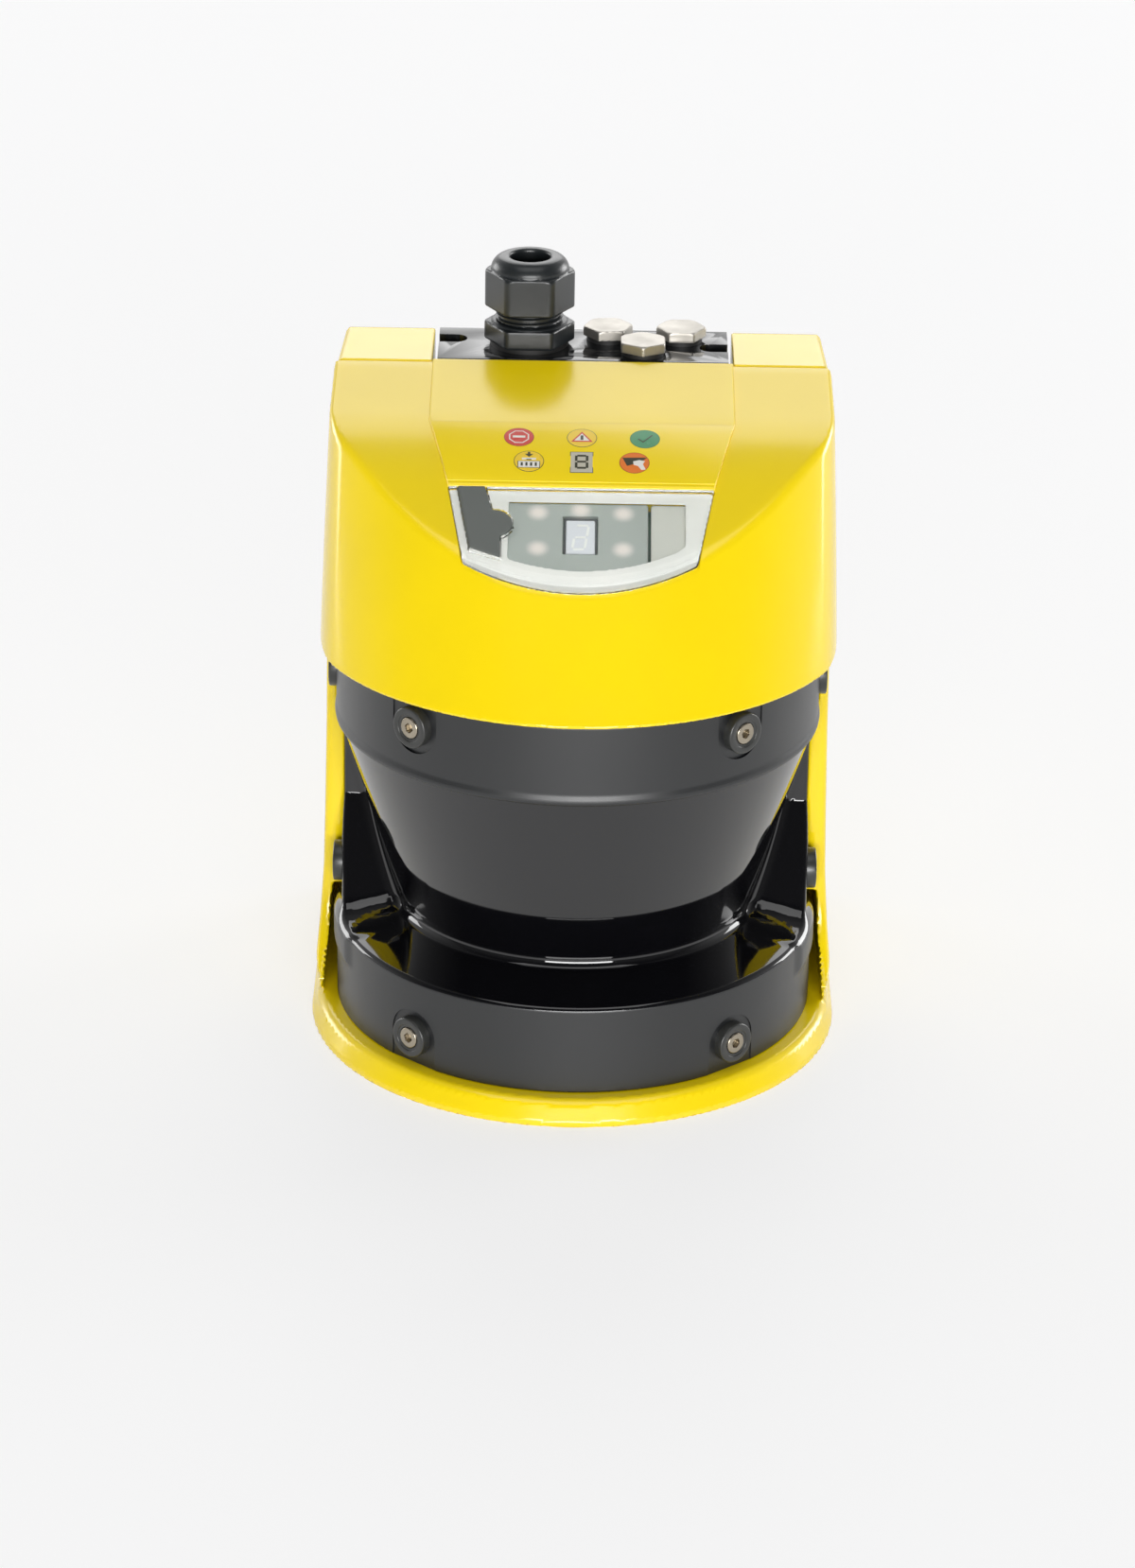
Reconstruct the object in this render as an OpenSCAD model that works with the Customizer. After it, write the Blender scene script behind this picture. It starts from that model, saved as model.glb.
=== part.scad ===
// Safety laser scanner for machine guarding.
// A cast frame shaped like a C stands on a round-fronted flange. A black moulded cover closes its front
// and carries the scan window. A cast hood with the display sits on top, with a plug for the cable gland.
// X runs across the front, Y to the rear and Z up. The origin is on the floor, on the mirror's axis.

/* [Overall] */
// Height of the hood's flat top above the floor
body_h = 185; // [183:0.5:188]
// Height of the joint between frame and hood
split_h = 121; // [120:0.5:122]
// Distance from the mirror's axis to the flat rear face
rear_y = 82.5; // [81:0.5:86]

/* [Frame] */
// Radius and half width of the base flange at the floor
flange_r = 77.5; // [76.5:0.5:80]
// Height of the flange where the cover stands on it
flange_h = 7.3; // [6.5:0.1:8]
// How far the flange's edge leans in
flange_draft = 2.2; // [1:0.1:3]
// Half width over the side walls at their top
wall_half = 73.2; // [72.8:0.1:74]
// Thickness of the side walls at their top
wall_t = 3.1; // [2.6:0.1:3.2]
// Where the side walls' front edges stand
wall_front_y = 8; // [7.5:0.5:9]
// Height at which the walls' front edges start to sweep into the flange
sweep_h = 38; // [34:1:44]
// Thickness of the rear wall
rear_t = 5; // [4:0.5:6]
// Thickness of the deck under the hood
deck_t = 4; // [3.5:0.5:5]
// Radius of the four blind mounting holes
mount_hole_r = 2.5; // [2:0.1:3.3]
// Depth of the four blind mounting holes
mount_hole_l = 8; // [6:1:9]
// Distance between the mounting holes across the width
mount_dx = 102; // [96:1:106]
// Distance between the mounting holes up the height
mount_dz = 78; // [70:1:82]

/* [Optics cover] */
// Radius of the cover's two matt bands
cover_r = 70; // [69.5:0.1:70.2]
// Wall thickness of the cover
cover_t = 3.2; // [2.8:0.1:3.4]
// Height of the lower edge of the upper band
band_h = 97; // [95:0.5:99]
// Height of the lower band's rim
rim_h = 33.9; // [32:0.5:35]
// Radius of the valley under the scan window
valley_r = 51.2; // [50.5:0.1:52]
// Height of the valley under the scan window
valley_h = 38.9; // [38:0.1:40]
// Radius at the scan window's top
window_top_r = 69; // [68.5:0.1:69.2]
// Radius of the cheeks at both ends of the scan window
cheek_r = 68.6; // [68:0.1:69]
// Where the cover's flat rear faces stand
cover_end_y = 12; // [11.5:0.5:13]
// Thickness of the seal between cover and frame
seal_t = 1.5; // [1.2:0.1:1.8]

/* [Cover screws] */
// Radius of the black washers
washer_r = 6; // [5.5:0.1:6.3]
// How far the washers stand out of their pockets
washer_t = 2.9; // [2.4:0.1:3.4]
// Radius of the screw heads
screw_head_r = 3.1; // [2.8:0.1:3.3]
// Radius of the screws' shanks
screw_r = 2; // [1.5:0.1:2.2]
// Angle of the front screws from the middle
screw_az = 41; // [39:0.5:43]
// Height of the upper screws
screw_top_h = 113.2; // [112:0.1:114]
// Height of the lower screws
screw_low_h = 16.2; // [15.5:0.1:17]
// Height of the screws in the cheeks
screw_cheek_h = 46.5; // [45:0.5:48]

/* [Hood] */
// Radius of the hood's front at its lower edge
prow_r = 78.8; // [78:0.1:79.5]
// How much the front's radius grows per millimetre of height
prow_grow = 0.105; // [0.09:0.005:0.12]
// Where the front's centre stands at the lower edge
prow_y = 6.7; // [6:0.1:7]
// Half width of the hood at its lower edge
hood_half = 74.6; // [74.2:0.1:75.5]
// Angle at which the hood's sides lean in
hood_draft = 1.6; // [1:0.1:2]
// Wall thickness of the hood
hood_t = 3.5; // [3:0.1:4]
// Where the flat top ends and the slope begins
top_front_y = 52; // [51:0.5:53]
// How far the shoulders beside the plug are set in
shoulder_step = 0.8; // [0.5:0.1:1.2]
// Angle at which the shoulders narrow to the rear
shoulder_taper = 2.4; // [1:0.1:3]
// Angle of the slope next to the flat top
slope_a1 = 9.5; // [9:0.1:10]
// Angle of the slope at the display
slope_a2 = 24; // [23.5:0.1:24.5]
// Length of the straight slope next to the flat top
slope_l = 31; // [30:0.1:33]
// Radius of the bend between the two slopes
slope_r = 138; // [134:1:142]
// Length of the display slope, from the window's top edge to the crease in front
display_l = 37.55; // [36.5:0.05:38.5]
// How far the middle panel stands out of the slope
pad_t = 0.7; // [0.4:0.1:1]
// Half width of the middle panel at its top
pad_half = 44.1; // [43.5:0.1:45]

/* [Display] */
// Half width of the display window at its top edge
win_half = 37.8; // [37:0.1:38.5]
// How much each side of the window narrows per millimetre
win_narrow = 0.16; // [0.14:0.01:0.18]
// Thickness of the display window
win_t = 3; // [2.6:0.1:3.2]
// Clearance round inset pieces
fit_gap = 0.2; // [0.15:0.05:0.3]
// Thickness of the flap over the service socket
flap_t = 2.4; // [2.2:0.1:2.6]
// Radius of the flap's finger lobe
lobe_r = 5.2; // [4.8:0.1:5.6]
// Radius of the flap's hinge pin
pin_r = 0.7; // [0.6:0.05:0.8]
// Radius of the service socket
socket_r = 5.2; // [5:0.1:5.5]
// Thickness of the circuit boards
board_t = 1.6; // [1.2:0.1:2]

/* [System plug] */
// Half width of the channel for the plug
channel_half = 44.1; // [43.6:0.1:44.8]
// Depth of the channel for the plug
channel_d = 20; // [18:0.5:21]
// Gap between the plug and the channel's walls
plug_gap = 1.3; // [1:0.1:1.6]
// Width of the slots at the plug's ends
slot_w = 6.8; // [6.6:0.1:7.2]
// Length of the slots at the plug's ends
slot_l = 8.4; // [8:0.1:9]
// Where the left slot stands
slot_left_y = 72.4; // [71:0.1:73]
// Where the right slot stands
slot_right_y = 67; // [66:0.1:68]

/* [Cable gland] */
// Distance across the flats of the gland's hexagons
gland_af = 23.6; // [22:0.1:24.5]
// Radius of the gland's thread
gland_r = 10; // [9.5:0.1:10.2]
// Radius of the hole for the cable
gland_hole_r = 5.95; // [5:0.05:6.5]
// Height of the hexagon on the gland's body
gland_hex_h = 5.5; // [5:0.1:6.5]
// Length of thread in sight between body and nut
gland_neck_h = 4.6; // [4:0.1:5.5]
// Height of the gland nut's hexagon
gland_nut_h = 11.4; // [10.5:0.1:12.5]
// Height of the gland nut's dome
gland_dome_h = 4.2; // [3.6:0.1:5]
// Where the gland stands across the plug
gland_x = -16; // [-17:0.5:-15]
// Where the gland stands along the plug
gland_y = 69.5; // [68:0.5:70]

/* [Blind plugs] */
// Distance across the flats of the blind plugs
blind_af = 13; // [12.6:0.1:13.4]
// Height of the blind plugs' heads
blind_h = 3; // [2.5:0.1:3.5]
// Radius of the blind plugs' threads
blind_r = 5; // [4.5:0.1:5.4]

/* [Rotor and optics] */
// Radius of the rotor's shaft
shaft_r = 2.5; // [2:0.1:3]
// Radial clearance of the shaft in its bearings
run_gap = 0.05; // [0.03:0.01:0.08]
// Outer radius of the bearings
bearing_r = 6.5; // [6:0.1:7]
// Height of a bearing
bearing_h = 3; // [2.5:0.1:3.2]
// Radius of the motor housing
motor_r = 22; // [21:0.5:23]
// Wall thickness of the motor housing
motor_t = 2.5; // [2:0.1:3]
// Height of the scan plane, where the mirror crosses its axis
scan_h = 72; // [71:0.5:73]
// Radius of the scan mirror's outline seen from above
mirror_r = 22.5; // [20:0.5:24]
// Thickness of the scan mirror
mirror_t = 2; // [1.5:0.1:2.5]
// Radius of the encoder disc
encoder_r = 32; // [30:0.5:34]
// Outer radius of the lens tube
tube_r = 21; // [20:0.5:22]
// Height of the lens tube's upper edge
tube_h = 46; // [44:0.5:47]
// Radius of the laser module
laser_r = 4.5; // [4:0.1:5]

/* [Hidden] */
$fn = 96;
eps = 0.01;
clear = 0.3;                                  // gap between pieces that only lie side by side
big = 200;

ring_r = cover_r - cover_t - seal_t;          // outer radius of the frame's rings behind the cover
ring_t = 4;
ring_h = 17;                                  // height of the ring behind the lower band
jamb_t = 5;
lip_gap = 6;                                  // height between the cover's bands and the walls' inner lips
jamb_y = cover_end_y + seal_t;                // front face of the frame's jambs
wall_in = wall_half - wall_t;                 // half width between the side walls
deck_h = split_h - 1;                         // top of the deck, one gasket below the hood
gasket_t = split_h - deck_h;
screw_head_h = 2.2;
pocket_d = 0.8;                               // depth of the pockets round the cover's washers

// Slope of the hood: a straight run, a bend and a second straight run
function out_of(a) = [-sin(a), cos(a)];
function down(a) = [-cos(a), -sin(a)];
slope_top = [top_front_y, body_h];
bend_c = slope_top + slope_l * down(slope_a1) - slope_r * out_of(slope_a1);
bend_n = 6;
function bend_pt(a, off) = bend_c + (slope_r + off) * out_of(a);
function slope_end(p, z) = p + (p[1] - z) / sin(slope_a2) * down(slope_a2);
function slope_line(off) = concat([slope_top + off * out_of(slope_a1)],
    [for (i = [0 : bend_n]) bend_pt(slope_a1 + (slope_a2 - slope_a1) * i / bend_n, off)],
    [slope_end(bend_pt(slope_a2, off), split_h - 2)]);
win_o = bend_pt(slope_a2, 0) + 0.4 * down(slope_a2);      // middle of the display window's top edge
function reversed(list) = [for (i = [len(list) - 1 : -1 : 0]) list[i]];

// Prow of the hood: a leaning cone whose centre moves back as it rises, so that it meets the slope in
// the crease
crease = win_o + display_l * down(slope_a2);
prow_lean = (crease[0] - prow_y + prow_r) / (crease[1] - split_h) + prow_grow;
function prow_centre(z) = prow_y + prow_lean * (z - split_h);
function prow_radius(z) = prow_r + prow_grow * (z - split_h);

channel_y = top_front_y + 1;
channel_h = body_h - channel_d;
plug_half = channel_half - plug_gap;
plug_y = channel_y + 1;
plug_base = channel_h + 1;                    // the plug stands on its gasket

gland_base = body_h + 1.4;
gland_neck = gland_base + gland_hex_h;
gland_nut_base = gland_neck + gland_neck_h;
gland_seal_r = 8.3;

// ---------------------------------------------------------------- shared shapes
module along_x(half) translate([-half, 0, 0]) rotate([90, 0, 90]) linear_extrude(2 * half) children();
module along_y(y0, y1) translate([0, y1, 0]) rotate([90, 0, 0]) linear_extrude(y1 - y0) children();
module both_sides() { children(); mirror([1, 0, 0]) children(); }
module tube(r_out, r_in, z0, z1) {
    difference() {
        translate([0, 0, z0]) cylinder(r = r_out, h = z1 - z0);
        translate([0, 0, z0 - 1]) cylinder(r = r_in, h = z1 - z0 + 2);
    }
}
// Places its children on the cover: az from the middle of the front, local Z pointing outwards
module on_cover(az, r, z) rotate([0, 0, az]) translate([0, -r, z]) rotate([90, 0, 0]) children();
// Places its children on the display slope: X across, Y up the slope, Z out of it
module on_slope() translate([0, win_o[0], win_o[1]]) rotate([slope_a2, 0, 0]) children();
module hexagon(af) circle(r = af / sqrt(3), $fn = 6);
// A hexagon whose corners are turned off
module turned_hex(af, corner_r, h) {
    intersection() {
        linear_extrude(h) hexagon(af);
        cylinder(r = corner_r, h = h);
    }
}
// D shape with a round front about the mirror's axis and a square rear
module d_shape(r, half, y1) {
    circle(r = r);
    translate([-half, 0]) square([2 * half, y1]);
}

// ---------------------------------------------------------------- frame
// Half widths over the side walls, from the floor up: the walls flare into the flange
flare = [[flange_r, 0], [flange_r, 1.5], [flange_r - 0.8, 13], [flange_r - 1.9, 25], [wall_half + 1.3, 42],
    [wall_half + 0.8, 62], [wall_half + 0.3, 88], [wall_half, split_h]];
module wall_section() polygon(concat(flare, reversed([for (p = flare) [-p[0], p[1]]])));
// Side view of the walls: their front edge sweeps forward into the flange
sweep_r = sweep_h - flange_h;
module wall_view() {
    difference() {
        translate([wall_front_y - sweep_r, 0]) square([rear_y - wall_front_y + sweep_r, split_h]);
        translate([wall_front_y - sweep_r, flange_h + sweep_r]) circle(r = sweep_r);
        translate([wall_front_y - 2 * sweep_r, flange_h + sweep_r]) square([2 * sweep_r, big]);
    }
}
module flange() {
    rotate_extrude() polygon([[0, 0], [flange_r, 0], [flange_r, 1.5], [flange_r - flange_draft,
        flange_h - 1.2],
        [cover_r, flange_h], [0, flange_h]]);
    translate([-cover_r, 0, 0]) cube([2 * cover_r, rear_y, flange_h]);
}
module wall_box() {
    intersection() {
        along_y(-sweep_r, rear_y) wall_section();
        along_x(big / 2) wall_view();
        linear_extrude(split_h) d_shape(flange_r, flange_r, rear_y);
    }
}
// The hollow behind the cover and between the walls
module frame_hollow() {
    translate([0, 0, flange_h]) cylinder(r = cover_r + clear, h = big);
    translate([-wall_in, 0, flange_h]) cube([2 * wall_in, rear_y - rear_t, big]);
}
// Plan of the deck: round in front, and between the walls behind the jambs
module deck_plan(inset) {
    circle(r = ring_r - inset);
    translate([-wall_in - 1 + inset, jamb_y + inset])
        square([2 * (wall_in + 1 - inset), rear_y - rear_t + 1 - jamb_y - 2 * inset]);
}
module frame_rings() {
    difference() {
        tube(ring_r, ring_r - ring_t, flange_h - eps, flange_h + ring_h);
        translate([-big / 2, jamb_y + jamb_t, 0]) cube([big, big, big]);
    }
    difference() {
        translate([0, 0, band_h + 6]) linear_extrude(deck_h - band_h - 6) deck_plan(0);
        translate([0, 0, band_h]) linear_extrude(deck_h - deck_t - band_h) deck_plan(ring_t);
    }
}
module frame_jambs() {
    both_sides() {
        translate([cover_r - 14, jamb_y, flange_h - eps]) cube([wall_in + 1 - cover_r + 14, jamb_t,
            deck_h - flange_h]);
        intersection() {
            translate([ring_r - 9, -washer_r + 2, flange_h - eps]) cube([9, jamb_y + 4,
                screw_cheek_h + 5 - flange_h]);
            cylinder(r = cheek_r - cover_t - clear, h = big);
            along_x(big / 2) cheek_view(cover_t + clear);
        }
        translate([cheek_r + clear, wall_front_y, rim_h + lip_gap])
            cube([wall_in + 1 - cheek_r - clear, jamb_y + 1 - wall_front_y, band_h - rim_h - 2 * lip_gap]);
    }
}
module mount_spots() for (x = [-1, 1], z = [-1, 1])
    translate([x * mount_dx / 2, rear_y, mount_h + z * mount_dz / 2]) children();
mount_h = 60;
boss_y = 71;                                  // front faces of the bosses for the power board
board_dx = 44;
board_z = [30, 90];
module board_spots(y) for (x = [-1, 1], z = board_z) translate([x * board_dx, y, z]) rotate([90, 0, 0])
    children();
module cover_screw_spots() {
    for (s = [-1, 1]) {
        on_cover(s * screw_az, cover_r - pocket_d, screw_top_h) children();
        on_cover(s * screw_az, cover_r - pocket_d, screw_low_h) children();
        on_cover(s * cheek_az, cheek_r - 0.4, screw_cheek_h) children();
        on_cover(s * cheek_az, cover_r - pocket_d, screw_top_h - 4.5) children();
    }
}
hood_screw_spots = [[-58, 22], [58, 22], [-58, 68], [58, 68]];
cheek_az = 91.3;
module frame_casting() color("gold") {
    difference() {
        union() {
            flange();
            difference() {
                wall_box();
                frame_hollow();
            }
            frame_rings();
            frame_jambs();
            mount_spots() rotate([90, 0, 0]) cylinder(r = mount_hole_r + 3.5, h = mount_hole_l + 3);
            board_spots(rear_y - rear_t + eps) cylinder(r = 3.5, h = rear_y - rear_t - boss_y);
        }
        mount_spots() rotate([90, 0, 0]) translate([0, 0, -1]) cylinder(r = mount_hole_r,
            h = mount_hole_l + 1);
        board_spots(boss_y + 5) cylinder(r = 1.25, h = 6);
        cover_screw_spots() translate([0, 0, -13]) cylinder(r = screw_r, h = 14);
        translate([0, 0, deck_h - deck_t - 1]) cylinder(r = motor_r - 6, h = deck_t + 2);
        motor_screw_spots() translate([0, 0, deck_h - deck_t - 1]) cylinder(r = 1.5, h = deck_t + 2);
        translate([-30, 40, deck_h - deck_t - 1]) cube([60, 20, deck_t + 2]);
        for (p = hood_screw_spots) translate([p[0], p[1], deck_h - deck_t - 1]) cylinder(r = 2.1,
            h = deck_t + 2);
    }
}

// ---------------------------------------------------------------- optics cover
// Outline of the moulding from the flange up to the hood, radius against height
cover_top = split_h - clear;
cover_outline = [[cover_r + 0.2, flange_h + 0.2], [cover_r + 0.2, flange_h + 1.4], [cover_r - 0.2,
    flange_h + 1.7],
    [cover_r, rim_h - 0.9], [cover_r - 0.3, rim_h - 0.3], [cover_r - 1.1, rim_h + 0.1],
    [valley_r + 1.6, valley_h - 0.4], [valley_r + 0.5, valley_h - 0.1], [valley_r + 0.1, valley_h + 0.8],
    [window_top_r, band_h - 0.6], [cover_r + 0.4, band_h],
    [cover_r + 0.4, band_h + 1.5], [cover_r, band_h + 3], [cover_r, cover_top]];
cover_inside = [[cover_r - cover_t, flange_h - 1], [cover_r - cover_t, rim_h - cover_t],
    [valley_r - cover_t, valley_h - cover_t], [valley_r - cover_t, valley_h],
    [window_top_r - cover_t, band_h + 0.5], [cover_r - cover_t, band_h + 2], [cover_r - cover_t,
        split_h + 1]];
// Side view of a cheek: a fillet out of the ledge, a slanted front, then upright beside the scan window
cheek_foot = [-17, rim_h + 0.6];
cheek_fillet = 8;
cheek_lean = 62;
cheek_y = cover_end_y - 6;
module cheek_view(inset) {
    centre = cheek_foot + [0, cheek_fillet];
    r = cheek_fillet + inset;
    arc = [for (i = [0 : 6]) centre + r * [sin(cheek_lean * i / 6), -cos(cheek_lean * i / 6)]];
    last = arc[6];
    knee = [cheek_y + inset, last[1] + (cheek_y + inset - last[0]) * tan(cheek_lean)];
    polygon(concat([[cover_end_y + 2, cheek_foot[1] - 6], [cheek_foot[0] - 2, cheek_foot[1] - 6],
        [cheek_foot[0] - 2, arc[0][1]]], arc, [knee, [knee[0], band_h + 1 + inset], [cover_end_y + 2,
            band_h + 1 + inset]]));
}
// Outside of the cheeks: it runs out to the rim at the foot
module cheek_limit(inset) {
    rotate_extrude() polygon([[0, cheek_foot[1] - 10], [cover_r - 0.8 - inset, cheek_foot[1] - 10],
        [cover_r - 0.8 - inset, rim_h + 0.2], [cheek_r + 0.3 - inset, rim_h + 4], [cheek_r - inset,
            rim_h + 9],
        [cheek_r - inset, band_h + 1 + inset], [0, band_h + 1 + inset]]);
}
module cheeks(inset) intersection() {
    along_x(big / 2) cheek_view(inset);
    cheek_limit(inset);
}
module u_pocket(up) {
    r = washer_r + 2.2;
    cylinder(r = r, h = 10);
    translate([-r, up > 0 ? 0 : -30, 0]) cube([2 * r, 30, 10]);
}
module optics_cover() color([0.16, 0.17, 0.18]) {
    difference() {
        union() {
            rotate_extrude() polygon(concat([[0, flange_h + 0.2]], cover_outline, [[0, cover_top]]));
            cheeks(0);
        }
        rotate_extrude() polygon(concat([[0, flange_h - 1]], cover_inside, [[0, split_h + 1]]));
        cheeks(cover_t);
        translate([-big / 2, cover_end_y, 0]) cube([big, big, big]);
        for (s = [-1, 1]) {
            on_cover(s * screw_az, cover_r - pocket_d, screw_top_h) u_pocket(1);
            on_cover(s * screw_az, cover_r - pocket_d, screw_low_h) u_pocket(-1);
        }
        cover_screw_spots() cylinder(r = washer_r + clear, h = 10);
        cover_screw_spots() translate([0, 0, -10]) cylinder(r = screw_r + 0.2, h = 11);
    }
}
module cover_seal() color("dimgray") {
    difference() {
        union() {
            for (z = [flange_h + 2, band_h + 8]) tube(cover_r - cover_t, ring_r, z, z + 12);
        }
        translate([-big / 2, cover_end_y, 0]) cube([big, big, big]);
        cover_screw_spots() translate([0, 0, -10]) cylinder(r = screw_r + 0.4, h = 11);
    }
    both_sides() translate([ring_r + clear, cover_end_y, flange_h + 1])
        cube([cheek_r - clear - ring_r - clear, seal_t, deck_h - flange_h - 2]);
}
module cover_washers() color([0.2, 0.2, 0.21]) cover_screw_spots() {
    rotate_extrude() polygon([[screw_r + 0.2, 0], [washer_r, 0], [washer_r, washer_t - 0.4],
        [washer_r - 0.4, washer_t], [screw_head_r + 1, washer_t], [screw_head_r + 0.8, washer_t - 0.3],
        [screw_head_r + 0.1, washer_t - 0.3], [screw_head_r + 0.1, washer_t - screw_head_h - 0.1],
        [screw_r + 0.2, washer_t - screw_head_h - 0.1]]);
}
// A socket screw that points down, the underside of its head at height 0
module socket_screw(r, l, head_r, head_h, key) {
    difference() {
        union() {
            translate([0, 0, -l]) cylinder(r = r, h = l + eps);
            rotate_extrude() polygon([[0, 0], [head_r, 0], [head_r, head_h - 0.3], [head_r - 0.3, head_h],
                [0, head_h]]);
        }
        translate([0, 0, head_h * 0.35]) linear_extrude(head_h) circle(r = key / sqrt(3), $fn = 6);
    }
}
module cover_screws() color([0.55, 0.52, 0.45]) cover_screw_spots()
    translate([0, 0, washer_t - screw_head_h - 0.1]) socket_screw(screw_r, 9, screw_head_r,
        screw_head_h, 2.6);

// ---------------------------------------------------------------- hood
module prow(inset, z0, z1) {
    dz = z1 - z0;
    yc0 = prow_centre(z0);
    yc1 = prow_centre(z1);
    multmatrix([[1, 0, 0, 0], [0, 1, prow_lean, yc0 - prow_lean * z0], [0, 0, 1, 0], [0, 0, 0, 1]])
        translate([0, 0, z0]) cylinder(r1 = prow_radius(z0) - inset, r2 = prow_radius(z1) - inset, h = dz);
    along_x(big / 2) polygon([[yc0, z0], [rear_y, z0], [rear_y, z1], [yc1, z1]]);
}
// Front view of the hood: leaning sides and rounded top corners
module hood_section(inset, corner) {
    top = body_h - inset;
    lean = tan(hood_draft);
    w0 = hood_half - inset;
    w1 = w0 - lean * (top - split_h);
    round_off = [for (a = [0 : 22.5 : 90]) [w1 - corner + corner * cos(a), top - corner + corner * sin(a)]];
    half = concat([[w0 + lean * 2, split_h - 2]], round_off);
    polygon(concat(half, reversed([for (p = half) [-p[0], p[1]]])));
}
module hood_view(inset) polygon(concat([[rear_y - inset, split_h - 2], [rear_y - inset, body_h - inset]],
    slope_line(-inset)));
module shoulder_trim() both_sides()
    translate([hood_half - tan(hood_draft) * (body_h - split_h) - shoulder_step, top_front_y, body_h])
        rotate([0, 0, shoulder_taper]) rotate([0, -hood_draft, 0]) translate([0, 0, -big / 2])
            cube([20, 60, big]);
// Plan of the middle panel and of the window below it
pad_bend_y = 17;
win_edge_y = win_o[0];
module pad_plan(y1, y0) intersection() {
    polygon([[-pad_half, top_front_y], [pad_half, top_front_y], [pad_half, pad_bend_y],
        [win_half - 0.1, win_edge_y], [win_half - 1, win_edge_y - 2], [1 - win_half, win_edge_y - 2],
        [0.1 - win_half, win_edge_y], [-pad_half, pad_bend_y]]);
    translate([-big / 2, y0]) square([big, y1 - y0]);
}
module panel_layer(low, high, y1, y0) intersection() {
    along_x(big / 2) polygon(concat(slope_line(high), reversed(slope_line(low))));
    translate([0, 0, split_h]) linear_extrude(big / 2) pad_plan(y1, y0);
}
win_l = 1.6 * display_l;                      // reaches past the prow, which trims the window
win_z0 = pad_t - win_t;                       // underside of the window, from the slope's surface
roof_z = win_z0 - hood_t;                     // inner side of the hood under the window
module window_outline(gap) polygon([[-win_half + gap, -gap], [win_half - gap, -gap],
    [win_half - gap - win_narrow * win_l, -win_l], [-win_half + gap + win_narrow * win_l, -win_l]]);
panel_left = -21;
panel_right = 30;
panel_top = -4;
panel_low = -28;
module panel_opening(gap) translate([panel_left + gap, panel_low + gap])
    square([panel_right - panel_left - 2 * gap, panel_top - panel_low - 2 * gap]);
socket_at = [-28.6, -13];
plug_screw_x = plug_half - slot_l + slot_w / 2;
plug_screw_spots = [[-plug_screw_x, slot_left_y], [plug_screw_x, slot_right_y]];
module hood_cavity() {
    intersection() {
        prow(hood_t + 0.8, split_h + 4, body_h);
        along_y(-big / 2, rear_y - hood_t) hood_section(hood_t, 1);
        along_x(big / 2) polygon(concat([[rear_y, split_h + 4], [rear_y, channel_h - hood_t],
            [channel_y - hood_t, channel_h - hood_t], [channel_y - hood_t, body_h + roof_z - 1]],
            [for (i = [0 : bend_n]) bend_pt(slope_a1 + (slope_a2 - slope_a1) * i / bend_n, roof_z)],
            [slope_end(bend_pt(slope_a2, roof_z), split_h + 4)]));
    }
}
module hood_casting() color("gold") {
    difference() {
        union() {
            intersection() {
                prow(0, split_h, body_h);
                along_y(-big / 2, rear_y) hood_section(0, 2);
                along_x(big / 2) hood_view(0);
            }
            panel_layer(-1, pad_t, top_front_y, win_edge_y - 1);
        }
        difference() {
            hood_cavity();
            for (p = plug_screw_spots) translate([p[0], p[1], channel_h - 12]) cylinder(r = 4.5, h = 20);
            for (p = hood_screw_spots) translate([p[0], p[1], split_h]) cylinder(r = 5, h = 13);
        }
        shoulder_trim();
        translate([-channel_half, channel_y, channel_h]) cube([2 * channel_half, big, big]);
        translate([0, 0, split_h - 1]) linear_extrude(10) d_shape(50, 50, 73);
        on_slope() {
            translate([0, 0, win_z0]) linear_extrude(20) window_outline(0);
            translate([0, 0, roof_z - 5]) linear_extrude(20) panel_opening(0);
            translate([socket_at[0], socket_at[1], roof_z - 5]) cylinder(r = socket_r + 0.1, h = 20);
            flap_axis() cylinder(r = pin_r, h = 1.6);
            for (x = display_screw_x) translate([x, display_screw_v, roof_z - 1]) cylinder(r = 1, h = 3.4);
        }
        for (p = plug_screw_spots) translate([p[0], p[1], channel_h - 11]) cylinder(r = screw_r, h = 20);
        for (p = hood_screw_spots) translate([p[0], p[1], split_h - 1]) cylinder(r = screw_r, h = 12);
        translate([-socket_w / 2, socket_y, channel_h - 10]) cube([socket_w, socket_l, 20]);
    }
}
module hood_gasket() color("dimgray") {
    translate([0, 0, deck_h]) linear_extrude(gasket_t) difference() {
        deck_plan(1);
        deck_plan(4);
    }
}
module hood_screws() color("silver") for (p = hood_screw_spots) translate([p[0], p[1], deck_h - deck_t])
    rotate([180, 0, 0]) socket_screw(screw_r, deck_t + gasket_t + 9, 3.5, 2.4, 3);
module legend_foil() color([0.98, 0.85, 0.2])
    panel_layer(pad_t, pad_t + 0.25, pad_bend_y - 2, win_edge_y + 1.4);

// ---------------------------------------------------------------- display and service socket
flap_top = [-win_half + 2.4, -fit_gap];
flap_low = [-win_half + 2.4 + win_narrow * 24.5, -24.5];
flap_angle = atan2(flap_low[0] - flap_top[0], flap_top[1] - flap_low[1]);
barrel_r = flap_t / 2;
lobe_at = [-24.4, -14.7];
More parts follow.
